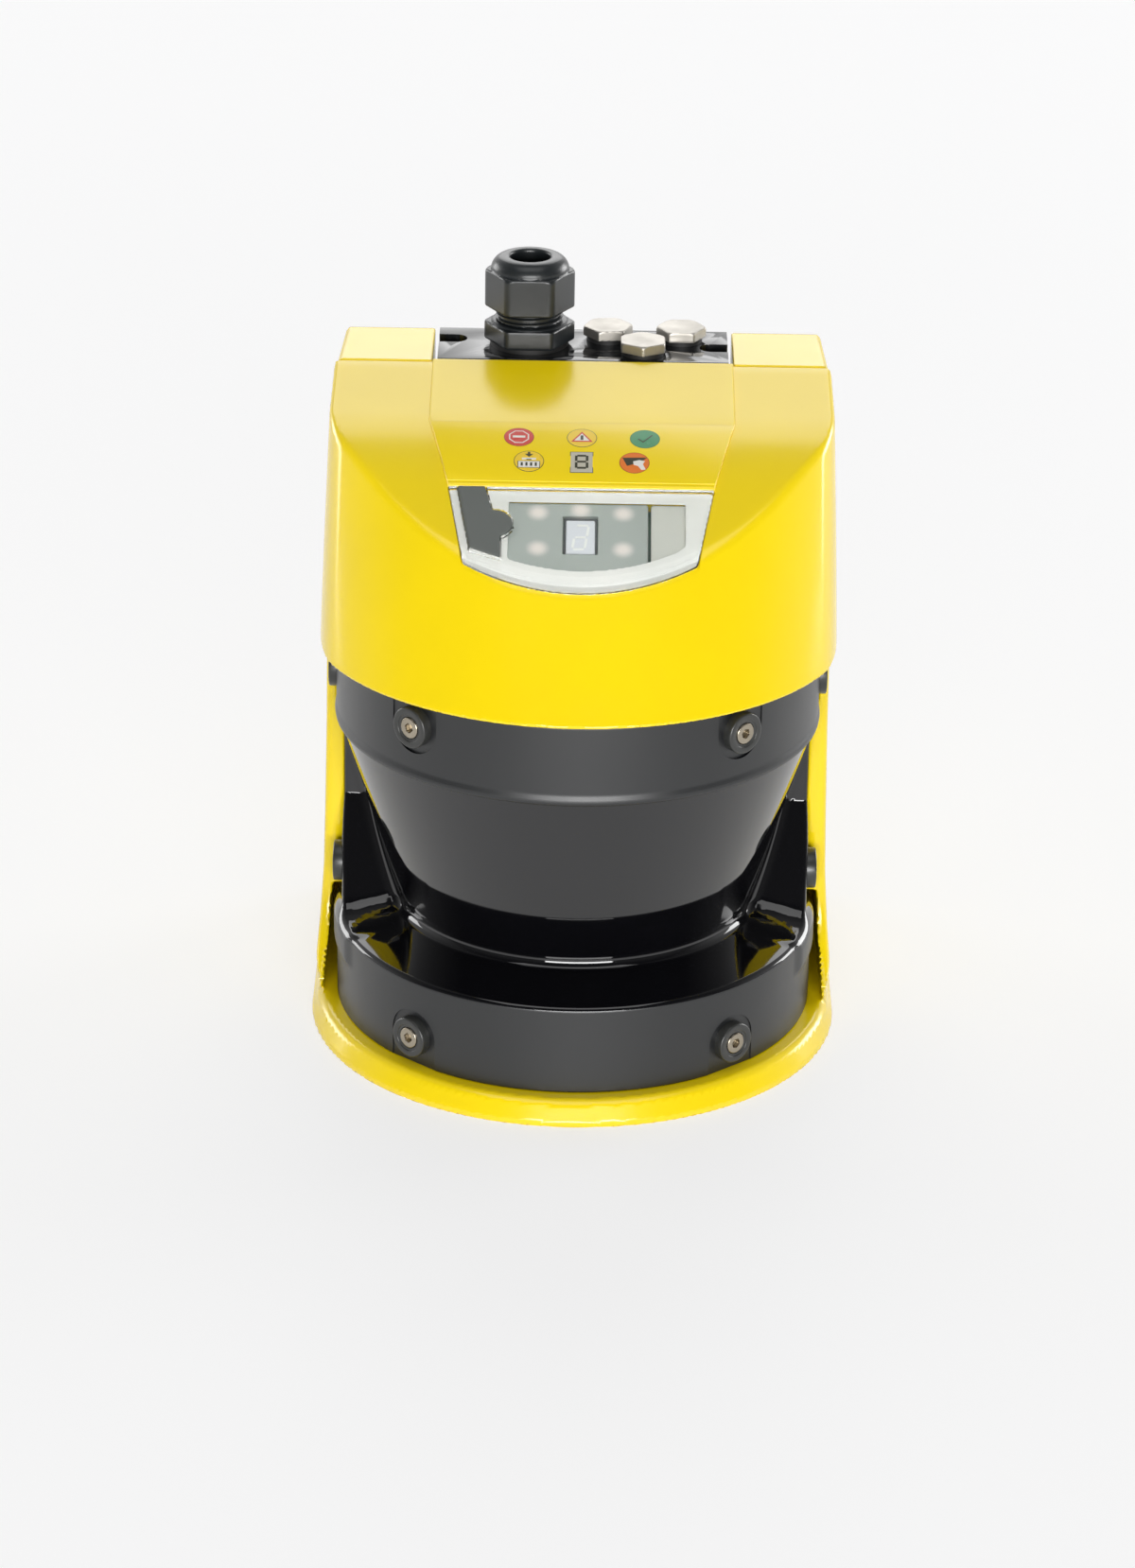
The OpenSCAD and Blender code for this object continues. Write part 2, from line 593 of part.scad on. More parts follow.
// Puts local Z along the hinge pin, up the slope, with 0 at the flap's upper end
module flap_axis() translate([flap_top[0] + barrel_r, flap_top[1], pad_t - barrel_r])
    rotate([0, 0, flap_angle]) rotate([-90, 0, 0]) children();
module flap_outline(gap) {
    offset(delta = gap) union() {
        polygon([flap_top + [barrel_r, 0], [-27.2, flap_top[1]], [-25.6, -7.2], [-22.6, -20.4], [-22.4,
            -28],
            flap_low + [barrel_r, 0]]);
        translate(lobe_at) circle(r = lobe_r, $fn = 48);
    }
}
flap_len = norm(flap_top - flap_low);
module flap_barrel(gap) flap_axis() translate([0, 0, -flap_len - gap]) cylinder(r = barrel_r + gap,
    h = flap_len + 2 * gap);
module display_window() color([0.85, 0.87, 0.88, 0.5]) {
    difference() {
        intersection() {
            prow(0, split_h, body_h);
            on_slope() translate([0, 0, win_z0]) linear_extrude(win_t) window_outline(fit_gap);
        }
        on_slope() {
            translate([0, 0, win_z0 - 1]) linear_extrude(win_t + 2) flap_outline(fit_gap + 0.05);
            flap_barrel(fit_gap + 0.05);
            flap_axis() translate([-barrel_r - 0.25, -10, -flap_len - barrel_r])
                cube([2 * barrel_r + 0.5, 10, flap_len + barrel_r + 2]);
            translate([socket_at[0], socket_at[1], win_z0 - 1]) cylinder(r = socket_r + 0.3, h = 1.6);
        }
    }
}
module service_flap() color([0.3, 0.31, 0.3]) on_slope() difference() {
    union() {
        translate([0, 0, pad_t - flap_t]) linear_extrude(flap_t) flap_outline(0);
        flap_barrel(0);
    }
    flap_axis() translate([0, 0, -flap_len - 1]) cylinder(r = pin_r + run_gap, h = flap_len + 2);
}
module flap_pin() color("silver") on_slope() flap_axis() translate([0, 0, -flap_len]) cylinder(r = pin_r, h = flap_len + 1.5);
module service_socket() color([0.1, 0.1, 0.1]) on_slope() translate([socket_at[0], socket_at[1],
    win_z0 - 14])
    difference() {
        cylinder(r = socket_r, h = 13.9);
        translate([0, 0, 5]) cylinder(r = socket_r - 1.2, h = 10);
    }
display_screw_x = [-23, 32.5];
display_screw_v = -8;
module display_board() color("darkgreen") on_slope() difference() {
    translate([-26, panel_low - 1, roof_z - board_t]) cube([60, panel_top - panel_low + 2, board_t]);
    for (x = display_screw_x) translate([x, display_screw_v, roof_z - 5]) cylinder(r = 1.1, h = 9);
    translate([socket_at[0], socket_at[1], roof_z - 10]) cylinder(r = socket_r + 0.4, h = 20);
}
module display_screws() color("silver") on_slope() for (x = display_screw_x)
    translate([x, display_screw_v, roof_z - board_t]) rotate([180, 0, 0]) socket_screw(1,
        board_t + 2.2, 2, 1.4, 1.5);
led_spots = [[-12, -8], [0, -6.8], [12, -8], [-12, -21.5], [12, -21.5]];
diffuser_z = roof_z + 1.8;
module status_leds() color("ivory") on_slope() for (p = led_spots)
    translate([p[0], p[1], roof_z]) cylinder(r = 1.6, h = diffuser_z - roof_z - 0.1);
digit_half = 4.7;
digit_top = -9.4;
digit_l = 15;
module digit_display() color("white") on_slope()
    translate([-digit_half, digit_top - digit_l, roof_z]) cube([2 * digit_half, digit_l,
        win_z0 - roof_z - 0.2]);
module display_diffuser() color([0.6, 0.64, 0.64]) on_slope() difference() {
    translate([0, 0, diffuser_z]) linear_extrude(1) panel_opening(0.1);
    translate([-digit_half - 0.3, digit_top - digit_l - 0.3, diffuser_z - 1])
        cube([2 * digit_half + 0.6, digit_l + 0.6, 4]);
}

// ---------------------------------------------------------------- system plug
plug_rear = rear_y - 0.5;
thread_l = 9;
socket_w = 34;                                // opening in the channel's floor for the connector
socket_l = 11;
socket_y = plug_y + 9.5;
pins_w = 24;
pins_l = 6;
pins_y = socket_y + (socket_l - pins_l) / 2;
blind_spots = [[7.3, 74.3], [29, 73.8], [17.6, 61.4]];
module plug_slot(x, y) {
    translate([x, y, body_h - 8]) cylinder(r = slot_w / 2, h = 20);
    translate([x > 0 ? x : x - 20, y - slot_w / 2, body_h - 8]) cube([20, slot_w, 20]);
}
module plug_housing() color([0.12, 0.13, 0.14]) difference() {
    translate([-plug_half, plug_y, plug_base]) cube([2 * plug_half, plug_rear - plug_y,
        body_h - plug_base]);
    translate([-31, plug_y + 3.5, plug_base - 1]) cube([62, plug_rear - plug_y - 7,
        body_h - thread_l - plug_base + 1]);
    for (p = plug_screw_spots) {
        plug_slot(p[0], p[1]);
        translate([p[0], p[1], plug_base - 1]) cylinder(r = screw_r + 0.1, h = 30);
    }
    translate([gland_x, gland_y, plug_base]) cylinder(r = gland_r, h = 30);
    for (p = blind_spots) translate([p[0], p[1], plug_base]) cylinder(r = blind_r, h = 30);
}
module plug_gasket() color("dimgray") translate([0, 0, channel_h]) linear_extrude(plug_base - channel_h) difference() {
    translate([-33, plug_y + 1]) square([66, plug_rear - plug_y - 2]);
    translate([-31, plug_y + 3.5]) square([62, plug_rear - plug_y - 7]);
}
module plug_screws() color([0.2, 0.2, 0.2]) for (p = plug_screw_spots)
    translate([p[0], p[1], body_h - 8]) socket_screw(screw_r, body_h - 8 - channel_h + 9, 3.2, 4, 3);
module plug_connector() color([0.15, 0.15, 0.16]) {
    translate([-30.8, plug_y + 3.7, plug_base]) cube([61.6, plug_rear - plug_y - 7.4, 2]);
    translate([-pins_w / 2, pins_y, channel_h - 6]) cube([pins_w, pins_l, plug_base - channel_h + 6 + eps]);
}
module hood_connector() color([0.15, 0.15, 0.16]) difference() {
    union() {
        translate([clear - socket_w / 2, socket_y + clear, channel_h - 13])
            cube([socket_w - 2 * clear, socket_l - 2 * clear, 13 - clear]);
        translate([-socket_w / 2 - 3, socket_y - 2.5, channel_h - hood_t - 3]) cube([socket_w + 6,
            socket_l + 5, 3]);
    }
    translate([-pins_w / 2 - 0.2, pins_y - 0.2, channel_h - 8]) cube([pins_w + 0.4, pins_l + 0.4, 20]);
}
module gland_body() color([0.2, 0.21, 0.22]) translate([gland_x, gland_y, 0]) difference() {
    union() {
        translate([0, 0, body_h - thread_l]) cylinder(r = gland_r,
            h = gland_base - body_h + thread_l + eps);
        translate([0, 0, gland_base]) turned_hex(gland_af, gland_af / sqrt(3) * 0.975, gland_hex_h);
        translate([0, 0, gland_neck]) cylinder(r = gland_r - 0.4, h = gland_neck_h + gland_nut_h - 3);
        for (i = [0 : 2]) translate([0, 0, gland_neck + 0.5 + 1.5 * i])
            rotate_extrude() polygon([[gland_r - 1, -0.5], [gland_r, 0.3], [gland_r, 0.5],
                [gland_r - 1, 1.2]]);
    }
    translate([0, 0, body_h - 20]) cylinder(r = gland_hole_r + 0.3, h = 60);
    translate([0, 0, gland_neck + 3]) cylinder(r = gland_seal_r, h = 60);
}
module gland_o_ring() color([0.08, 0.08, 0.08]) translate([gland_x, gland_y, 0])
    tube(gland_r + 1.6, gland_r, body_h, gland_base);
module gland_seal() color([0.08, 0.08, 0.08]) translate([gland_x, gland_y, 0])
    tube(gland_seal_r, gland_hole_r + 0.1, gland_neck + 3, gland_nut_base + gland_nut_h - 1);
module gland_nut() color([0.2, 0.21, 0.22]) translate([gland_x, gland_y, gland_nut_base]) difference() {
    union() {
        turned_hex(gland_af, gland_af / sqrt(3) * 0.975, gland_nut_h);
        rotate_extrude() polygon(concat([[0, gland_nut_h - eps], [gland_af / 2 - 0.2, gland_nut_h - eps]],
            [for (a = [0 : 15 : 90]) [gland_af / 2 - 0.2 - gland_dome_h + gland_dome_h * cos(a),
                gland_nut_h + gland_dome_h * sin(a)]], [[0, gland_nut_h + gland_dome_h]]));
    }
    translate([0, 0, -1]) cylinder(r = gland_r + run_gap, h = gland_nut_h);
    rotate_extrude() polygon([[0, gland_nut_h - 2], [gland_hole_r, gland_nut_h - 2], [gland_hole_r,
        gland_nut_h
        + gland_dome_h - 1], [gland_hole_r + 1.2, gland_nut_h + gland_dome_h + 0.3], [0,
            gland_nut_h + gland_dome_h + 0.3]]);
}
module blind_plugs() color([0.75, 0.72, 0.66]) for (i = [0 : 2]) translate([blind_spots[i][0],
    blind_spots[i][1], 0]) {
    translate([0, 0, body_h - thread_l + 1]) cylinder(r = blind_r, h = thread_l + 0.3 + eps);
    translate([0, 0, body_h + 1.3]) rotate([0, 0, [8, 0, 30][i]]) intersection() {
        turned_hex(blind_af, blind_af / sqrt(3) * 0.985, blind_h);
        cylinder(r1 = blind_af, r2 = blind_af / 2 - 0.1, h = blind_h + 3);
    }
}
module blind_plug_rings() color([0.1, 0.1, 0.1]) for (p = blind_spots) translate([p[0], p[1], 0])
    tube(blind_r + 1.3, blind_r, body_h, body_h + 1.3);

// ---------------------------------------------------------------- motor and rotor
motor_top = deck_h - deck_t;
motor_base = 98;
bearing_low = motor_base;
bearing_top = motor_top - 1 - bearing_h;
motor_screw_at = motor_r - 3.5;
module motor_screw_spots() for (a = [30 : 120 : 270]) rotate([0, 0, a]) translate([motor_screw_at, 0,
    0]) children();
module motor_housing() color("gray") difference() {
    translate([0, 0, motor_base]) cylinder(r = motor_r, h = motor_top - motor_base);
    translate([0, 0, motor_base + bearing_h]) cylinder(r = motor_r - motor_t,
        h = motor_top - motor_base - 2 * bearing_h - 1);
    translate([0, 0, motor_base - 1]) cylinder(r = bearing_r, h = bearing_h + 2);
    translate([0, 0, bearing_top - 1]) cylinder(r = bearing_r, h = bearing_h + 1);
    motor_screw_spots() translate([0, 0, motor_top - 3]) cylinder(r = 1.25, h = 4);
}
module motor_screws() color("silver") motor_screw_spots() translate([0, 0, deck_h]) socket_screw(1.25, deck_t + 2.6, 2.4, 2, 2);
module motor_stator() color("orange") tube(motor_r - motor_t, 12, motor_base + bearing_h + 1.5, bearing_top - 1.5);
module bearing(z) color("silver") tube(bearing_r, shaft_r + run_gap, z, z + bearing_h);
module upper_bearing() bearing(bearing_top);
module lower_bearing() bearing(bearing_low);
module rotor_magnet() color("dimgray") tube(11, shaft_r, motor_base + bearing_h + 2, bearing_top - 2);
carrier_top = 94;
module rotor_shaft() color("silver") translate([0, 0, carrier_top - 8])
    cylinder(r = shaft_r, h = motor_top - 1 - carrier_top + 8 - clear);
module encoder_disc() color([0.7, 0.72, 0.75]) tube(encoder_r, shaft_r, carrier_top, carrier_top + 1);
module encoder_sensor() color([0.1, 0.3, 0.15]) difference() {
    translate([encoder_r - 5, -5, carrier_top - 3]) cube([11, 10, motor_top - carrier_top + 3]);
    translate([encoder_r - 10, -20, carrier_top - 1]) cube([10 + 1, 40, 3]);
}
module mirror_space() translate([0, 0, scan_h]) rotate([45, 0, 0]) children();
module mirror_carrier() color([0.2, 0.2, 0.22]) difference() {
    union() {
        intersection() {
            translate([0, 0, scan_h - mirror_r + 7]) cylinder(r = mirror_r + 0.5,
                h = 2 * mirror_r - 14 + 1);
            mirror_space() translate([-big / 2, mirror_t, -big / 2]) cube([big, big, big]);
        }
        translate([0, 0, scan_h + 4]) cylinder(r = 8, h = carrier_top - scan_h - 4);
    }
    translate([0, 0, carrier_top - 8]) cylinder(r = shaft_r, h = 20);
    mirror_space() translate([-big / 2, -big + mirror_t, -big / 2]) cube([big, big, big]);
}
module scan_mirror() color([0.8, 0.85, 0.9]) intersection() {
    translate([0, 0, scan_h - mirror_r + 7]) cylinder(r = mirror_r, h = 2 * mirror_r - 14);
    mirror_space() translate([-big / 2, 0, -big / 2]) cube([big, mirror_t, big]);
}

// ---------------------------------------------------------------- laser, receiver and boards
module lens_tube() color([0.15, 0.15, 0.15]) difference() {
    translate([0, 0, flange_h]) cylinder(r = tube_r, h = tube_h - flange_h);
    translate([0, 0, flange_h - 1]) cylinder(r = tube_r - 5, h = 10);
    translate([0, 0, flange_h + 3]) cylinder(r = tube_r - 2.5, h = tube_h);
}
receiver_h = flange_h + 3;
lens_h = tube_h - 6;
lens_r = tube_r - 2.5;
module receiver_board() color("darkgreen") translate([0, 0, receiver_h]) cylinder(r = lens_r, h = board_t);
module receiver_lens() color([0.85, 0.9, 0.95, 0.5]) difference() {
    intersection() {
        translate([0, 0, lens_h]) cylinder(r = lens_r, h = 12);
        translate([0, 0, lens_h + 2 - sqrt(32 * 32 - lens_r * lens_r)]) sphere(r = 32);
    }
    translate([0, 0, lens_h - 1]) cylinder(r = laser_r, h = 20);
}
module laser_module() color([0.7, 0.6, 0.3]) difference() {
    translate([0, 0, receiver_h + board_t]) cylinder(r = laser_r, h = tube_h + 3 - receiver_h - board_t);
    translate([0, 0, tube_h]) cylinder(r = laser_r - 1, h = 10);
}
monitor_h = flange_h + ring_h;
module window_monitor_board() color("darkgreen") difference() {
    tube(ring_r - 0.8, 48, monitor_h, monitor_h + board_t);
    translate([-big / 2, -washer_r - 1, 0]) cube([big, big, big]);
}
module window_monitor_leds() color("ivory") for (a = [-75 : 30 : 75]) rotate([0, 0, a])
    translate([0, -55, monitor_h + board_t]) cylinder(r = 1.5, h = 2.4);
module reference_target() color([0.3, 0.3, 0.3]) {
    translate([-8, 46, flange_h]) cube([16, 3, scan_h + 12 - flange_h]);
    translate([-8, 36, flange_h]) cube([16, 10 + eps, 3]);
    translate([-10, 44, scan_h - 10]) cube([20, 2 + eps, 20]);
}
module wall_board(y) difference() {
    translate([-52, y - board_t, 14]) cube([104, board_t, 92]);
    board_spots(y + 1) cylinder(r = 1.3, h = board_t + 2);
}
spacer_l = 10;
module power_board() color("darkgreen") wall_board(boss_y);
module board_spacers() color("silver") board_spots(boss_y - board_t) difference() {
    cylinder(r = 2.8, h = spacer_l);
    translate([0, 0, -1]) cylinder(r = 1.3, h = spacer_l + 2);
}
module processor_board() color("darkgreen") wall_board(boss_y - board_t - spacer_l);
module board_screws() color("silver") board_spots(boss_y - 2 * board_t - spacer_l)
    socket_screw(1.25, 2 * board_t + spacer_l + 4.5, 2.4, 2, 2);

frame_casting();
optics_cover();
cover_seal();
cover_washers();
cover_screws();
hood_casting();
hood_gasket();
hood_screws();
legend_foil();
display_window();
display_board();
display_screws();
status_leds();
digit_display();
display_diffuser();
service_flap();
flap_pin();
service_socket();
plug_housing();
plug_gasket();
plug_screws();
plug_connector();
hood_connector();
gland_body();
gland_o_ring();
gland_seal();
gland_nut();
blind_plugs();
blind_plug_rings();
motor_housing();
motor_screws();
motor_stator();
upper_bearing();
lower_bearing();
rotor_magnet();
rotor_shaft();
encoder_disc();
encoder_sensor();
mirror_carrier();
scan_mirror();
lens_tube();
receiver_lens();
laser_module();
receiver_board();
window_monitor_board();
window_monitor_leds();
reference_target();
power_board();
processor_board();
board_spacers();
board_screws();
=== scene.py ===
"""Safety laser scanner, dressed for close viewing.

The castings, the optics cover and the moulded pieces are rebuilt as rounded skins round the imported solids.
Each skin is written as a distance function in millimetres and then meshed, so that every edge and every
inner corner gets the radius that the real casting or moulding would have.
"""
import math

import bpy
import numpy as np
from bpy.props import FloatProperty, FloatVectorProperty, PointerProperty
from mathutils import Matrix, Vector


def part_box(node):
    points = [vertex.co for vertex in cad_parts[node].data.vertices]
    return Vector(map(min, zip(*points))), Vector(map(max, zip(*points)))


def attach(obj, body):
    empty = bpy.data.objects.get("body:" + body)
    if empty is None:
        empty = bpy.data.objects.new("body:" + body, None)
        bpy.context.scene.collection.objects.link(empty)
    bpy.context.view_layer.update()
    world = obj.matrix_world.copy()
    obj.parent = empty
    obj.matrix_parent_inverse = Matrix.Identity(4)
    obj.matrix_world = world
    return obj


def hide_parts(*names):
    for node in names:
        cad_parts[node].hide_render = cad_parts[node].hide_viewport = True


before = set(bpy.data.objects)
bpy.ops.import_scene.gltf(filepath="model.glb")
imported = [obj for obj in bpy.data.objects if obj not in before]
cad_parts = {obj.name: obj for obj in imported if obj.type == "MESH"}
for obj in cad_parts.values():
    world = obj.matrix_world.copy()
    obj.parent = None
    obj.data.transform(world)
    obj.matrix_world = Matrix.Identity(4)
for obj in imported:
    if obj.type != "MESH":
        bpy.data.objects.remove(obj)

bl_info = {
    "name": "Safety laser scanner",
    "version": (1, 0, 0),
    "blender": (4, 5, 0),
    "location": "View3D > Sidebar > Scanner",
    "description": "Builds the visible pieces of a safety laser scanner round its packed solids",
    "category": "Object",
}

MM = 0.001


def box_mm(node):
    """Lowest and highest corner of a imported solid, in millimetres."""
    low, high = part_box(node)
    return np.array(low) / MM, np.array(high) / MM


HOOD_LOW, HOOD_HIGH = box_mm("hood_casting")
FRAME_LOW, FRAME_HIGH = box_mm("frame_casting")
COVER_HIGH = box_mm("optics_cover")[1]
PLUG_HIGH = box_mm("plug_housing")[1]
NUT_LOW, NUT_HIGH = box_mm("gland_nut")


# ------------------------------------------------------------------ sizes and colours
def size(name, text, mm):
    """A length that the sidebar shows in the scene's unit."""
    return FloatProperty(name=name, description=text, default=mm * MM, unit="LENGTH", subtype="DISTANCE")


def angle(name, text, degrees):
    """An angle that the sidebar shows in degrees."""
    return FloatProperty(name=name, description=text, default=math.radians(degrees), unit="ROTATION",
                         subtype="ANGLE")


def colour(name, text, rgb):
    """A linear colour with a swatch in the sidebar."""
    return FloatVectorProperty(name=name, description=text, default=rgb, subtype="COLOR", size=3,
                               min=0, max=1)


class HoodSizes(bpy.types.PropertyGroup):
    """Sizes of the cast hood."""

    joint_height: size("Joint height", "Height of the joint between frame and hood", float(HOOD_LOW[2]))
    top_height: size("Top height", "Height of the flat top", float(PLUG_HIGH[2]))
    half_width: size("Half width", "Half width at the lower edge", float(HOOD_HIGH[0]))
    rear: size("Rear face", "Where the rear face stands", float(HOOD_HIGH[1]))
    prow_radius: size("Front radius", "Radius of the round front at its lower edge", 78.8)
    prow_centre: size("Front centre", "Where the front's centre stands at the lower edge", 6.7)
    draft: angle("Draft", "How far the sides lean in", 1.6)
    flat_front: size("End of the flat top", "Where the flat top ends and the slope begins", 52.0)
    upper_slope: angle("Upper slope", "Angle of the slope next to the flat top", 9.5)
    lower_slope: angle("Lower slope", "Angle of the slope at the display", 24.0)
    slope_length: size("Upper slope length", "Length of the straight slope next to the flat top", 31.0)
    bend_radius: size("Bend radius", "Radius of the bend between the slopes", 138.0)
    crease_round: size("Crease rounding", "Radius along the crease between front and slope", 1.5)
    edge_round: size("Edge rounding", "Radius of the lower edge", 1.0)
    panel_half: size("Panel half width", "Half width of the raised middle panel", 44.1)
    panel_rise: size("Panel rise", "How far the middle panel stands out", 0.7)
    shoulder_step: size("Shoulder step", "How far the shoulders are set in", 0.8)


class FrameSizes(bpy.types.PropertyGroup):
    """Sizes of the cast frame."""

    flange_radius: size("Flange radius", "Radius of the base flange", float(FRAME_HIGH[0]))
    flange_height: size("Flange height", "Height of the flange", 7.3)
    wall_thickness: size("Wall thickness", "Thickness of the side walls", 3.1)
    wall_front: size("Wall front", "Where the walls' front edges stand", 8.0)
    sweep_height: size("Sweep height", "Where the front edges start to sweep into the flange", 38.0)
    edge_round: size("Edge rounding", "Radius of the walls' outer front edges", 2.1)


class CoverSizes(bpy.types.PropertyGroup):
    """Sizes of the moulded optics cover."""

    band_radius: size("Band radius", "Radius of the two matt bands", 70.0)
    band_height: size("Band height", "Height of the upper band's lower edge", 97.0)
    rim_height: size("Rim height", "Height of the lower band's rim", 33.9)
    valley_radius: size("Valley radius", "Radius of the valley under the window", 51.2)
    valley_height: size("Valley height", "Height of the valley", 38.9)
    window_top_radius: size("Window top radius", "Radius of the window's top edge", 69.0)
    cheek_radius: size("Cheek radius", "Radius of the cheeks beside the window", 68.6)
    rear: size("Rear faces", "Where the cover's flat rear faces stand", float(COVER_HIGH[1]))
    thickness: size("Thickness", "Wall thickness of the cover", 3.2)
    fillet: size("Valley fillet", "Radius of the valley below the window", 3.0)
    cheek_fillet: size("Cheek fillet", "Radius where the cheeks meet ledge and window", 4.5)


class WindowSizes(bpy.types.PropertyGroup):
    """Sizes of the display window and the flap beside it."""

    half_width: size("Half width", "Half width at the top edge", 37.8)
    narrowing: FloatProperty(name="Narrowing", description="How much each side narrows per unit of length",
                             default=0.16, min=0, max=0.5)
    gap: size("Gap", "Gap round the inset pieces", 0.2)
    lobe_radius: size("Lobe radius", "Radius of the flap's finger lobe", 5.2)
    flap_thickness: size("Flap thickness", "Thickness of the flap", 2.4)


class Finishes(bpy.types.PropertyGroup):
    """Colours of the finishes."""

    yellow: colour("Yellow coat", "Powder coat of hood and frame", (0.94, 0.70, 0.004))
    black: colour("Cover black", "Gloss black of the optics cover", (0.003, 0.003, 0.004))
    band: colour("Band black", "Matt bands of the cover", (0.009, 0.010, 0.011))
    gland: colour("Gland grey", "Plastic of the cable gland", (0.017, 0.020, 0.022))
    flap: colour("Flap grey", "Plastic of the flap", (0.125, 0.137, 0.127))
    nickel: colour("Nickel", "Plated blind plugs", (0.53, 0.505, 0.46))
    frost: colour("Frosted rim", "Pale tray under the display window", (0.90, 0.89, 0.84))
    panel: colour("Display panel", "Grey panel under the display window", (0.42, 0.46, 0.42))


def sizes(group):
    """One group of sizes, or the colours of the finishes."""
    return getattr(bpy.context.scene, "scanner_" + group)


def finish(name):
    """A finish by its name."""
    return bpy.data.materials[name]


# ------------------------------------------------------------------ distance functions, in millimetres
def both(a, b, r=0.0):
    """Where both shapes are, its outer edge rounded to radius r."""
    if r <= 0:
        return np.maximum(a, b)
    return np.minimum(np.maximum(a, b), -r) + np.hypot(np.maximum(a + r, 0), np.maximum(b + r, 0))


def either(a, b, r=0.0):
    """Where either shape is, its inner corner filled to radius r."""
    return -both(-a, -b, r)


def without(a, b, r=0.0):
    """The first shape less the second."""
    return both(a, -b, r)


def polygon_distance(points, u, v):
    """Signed distance to a closed outline, negative inside."""
    p = np.asarray(points, float)
    q = np.roll(p, -1, axis=0)
    best = np.full(np.shape(u), 1e12)
    inside = np.zeros(np.shape(u), bool)
    for (ax, ay), (bx, by) in zip(p, q):
        ex, ey = bx - ax, by - ay
        wx, wy = u - ax, v - ay
        t = np.clip((wx * ex + wy * ey) / max(ex * ex + ey * ey, 1e-12), 0, 1)
        best = np.minimum(best, (wx - t * ex) ** 2 + (wy - t * ey) ** 2)
        if ey != 0:
            crosses = (ay > v) != (by > v)
            inside ^= crosses & (u < ax + ex * (v - ay) / ey)
    best = np.sqrt(best)
    return np.where(inside, -best, best)


def slab(w, low, high):
    """Signed distance to the layer between two heights."""
    return np.maximum(low - w, w - high)


def gradient(field, points, h=0.02):
    """Outward direction of a distance function at some points, not normalised."""
    g = np.empty_like(points)
    for k in range(3):
        a, b = points.copy(), points.copy()
        a[:, k] += h
        b[:, k] -= h
        g[:, k] = (field(*a.T) - field(*b.T)) / (2 * h)
    return g


def skin(field, low, high, step, polar=False):
    """Points and faces of the surface where a distance function is zero.

    low and high are corners of the region, step the spacing. With polar they're angle from the front in
    degrees, radius and height, so that turned shapes get rings without waves.
    """
    def to_space(g):
        if not polar:
            return g
        a = np.radians(g[0])
        return [g[1] * np.sin(a), -g[1] * np.cos(a), g[2]]

    step = np.broadcast_to(np.asarray(step, float), 3)
    count = [int(math.ceil((high[k] - low[k]) / step[k])) + 1 for k in range(3)]
    grid = np.meshgrid(*[low[k] + step[k] * np.arange(count[k]) for k in range(3)], indexing="ij")
    value = field(*to_space(grid))
    cells = np.array(value.shape) - 1
    total = np.zeros(tuple(cells) + (3,))
    hits = np.zeros(tuple(cells))
    loops = []
    for axis in range(3):
        first = [slice(None)] * 3
        last = [slice(None)] * 3
        first[axis], last[axis] = slice(None, -1), slice(1, None)
        a, b = value[tuple(first)], value[tuple(last)]
        crossed = (a < 0) != (b < 0)
        at = np.argwhere(crossed)
        where = at.astype(float)
        where[:, axis] += a[crossed] / (a[crossed] - b[crossed])
        u, v = [k for k in range(3) if k != axis]
        ring, whole = [], np.ones(len(at), bool)
        for du, dv in ((0, 0), (-1, 0), (-1, -1), (0, -1)):
            cell = at.copy()
            cell[:, u] += du
            cell[:, v] += dv
            fits = np.all((cell >= 0) & (cell < cells), axis=1)
            np.add.at(total, tuple(cell[fits].T), where[fits])
            np.add.at(hits, tuple(cell[fits].T), 1)
            ring.append(cell)
            whole &= fits
        ring = np.stack(ring, 1)[whole]
        turned = (a[crossed] < 0)[whole] ^ (axis == 1)
        ring[~turned] = ring[~turned][:, ::-1]
        loops.append(ring)
    number = np.full(tuple(cells), -1)
    used = hits > 0
    number[used] = np.arange(used.sum())
    places = total[used] / hits[used][:, None] * step + np.asarray(low, float)
    points = np.stack(to_space([places[:, 0], places[:, 1], places[:, 2]]), 1)
    faces = np.concatenate([number[tuple(np.moveaxis(ring, 2, 0))] for ring in loops])
    for _ in range(4):
        g = gradient(field, points)
        f = field(*points.T)
        move = g * (f / np.maximum((g * g).sum(1), 1e-6))[:, None]
        far = np.linalg.norm(move, axis=1, keepdims=True)
        points = points - move * np.minimum(1, 0.5 * step.max() / np.maximum(far, 1e-9))
    if polar:
        faces = faces[:, ::-1]
    return points, faces


# ------------------------------------------------------------------ mesh helpers
def link(mesh, name):
    """A new object with this mesh, in the scene."""
    piece = bpy.data.objects.new(name, mesh)
    bpy.context.scene.collection.objects.link(piece)
    return piece


def mesh_piece(name, points, faces, coat, smooth=True):
    """A new object from points in millimetres, with a finish by its name."""
    mesh = bpy.data.meshes.new(name)
    mesh.from_pydata((np.asarray(points) * MM).tolist(), [], [list(map(int, f)) for f in faces])
    mesh.validate()
    if coat:
        mesh.materials.append(finish(coat))
    mesh.polygons.foreach_set("use_smooth", [smooth] * len(mesh.polygons))
    return link(mesh, name)


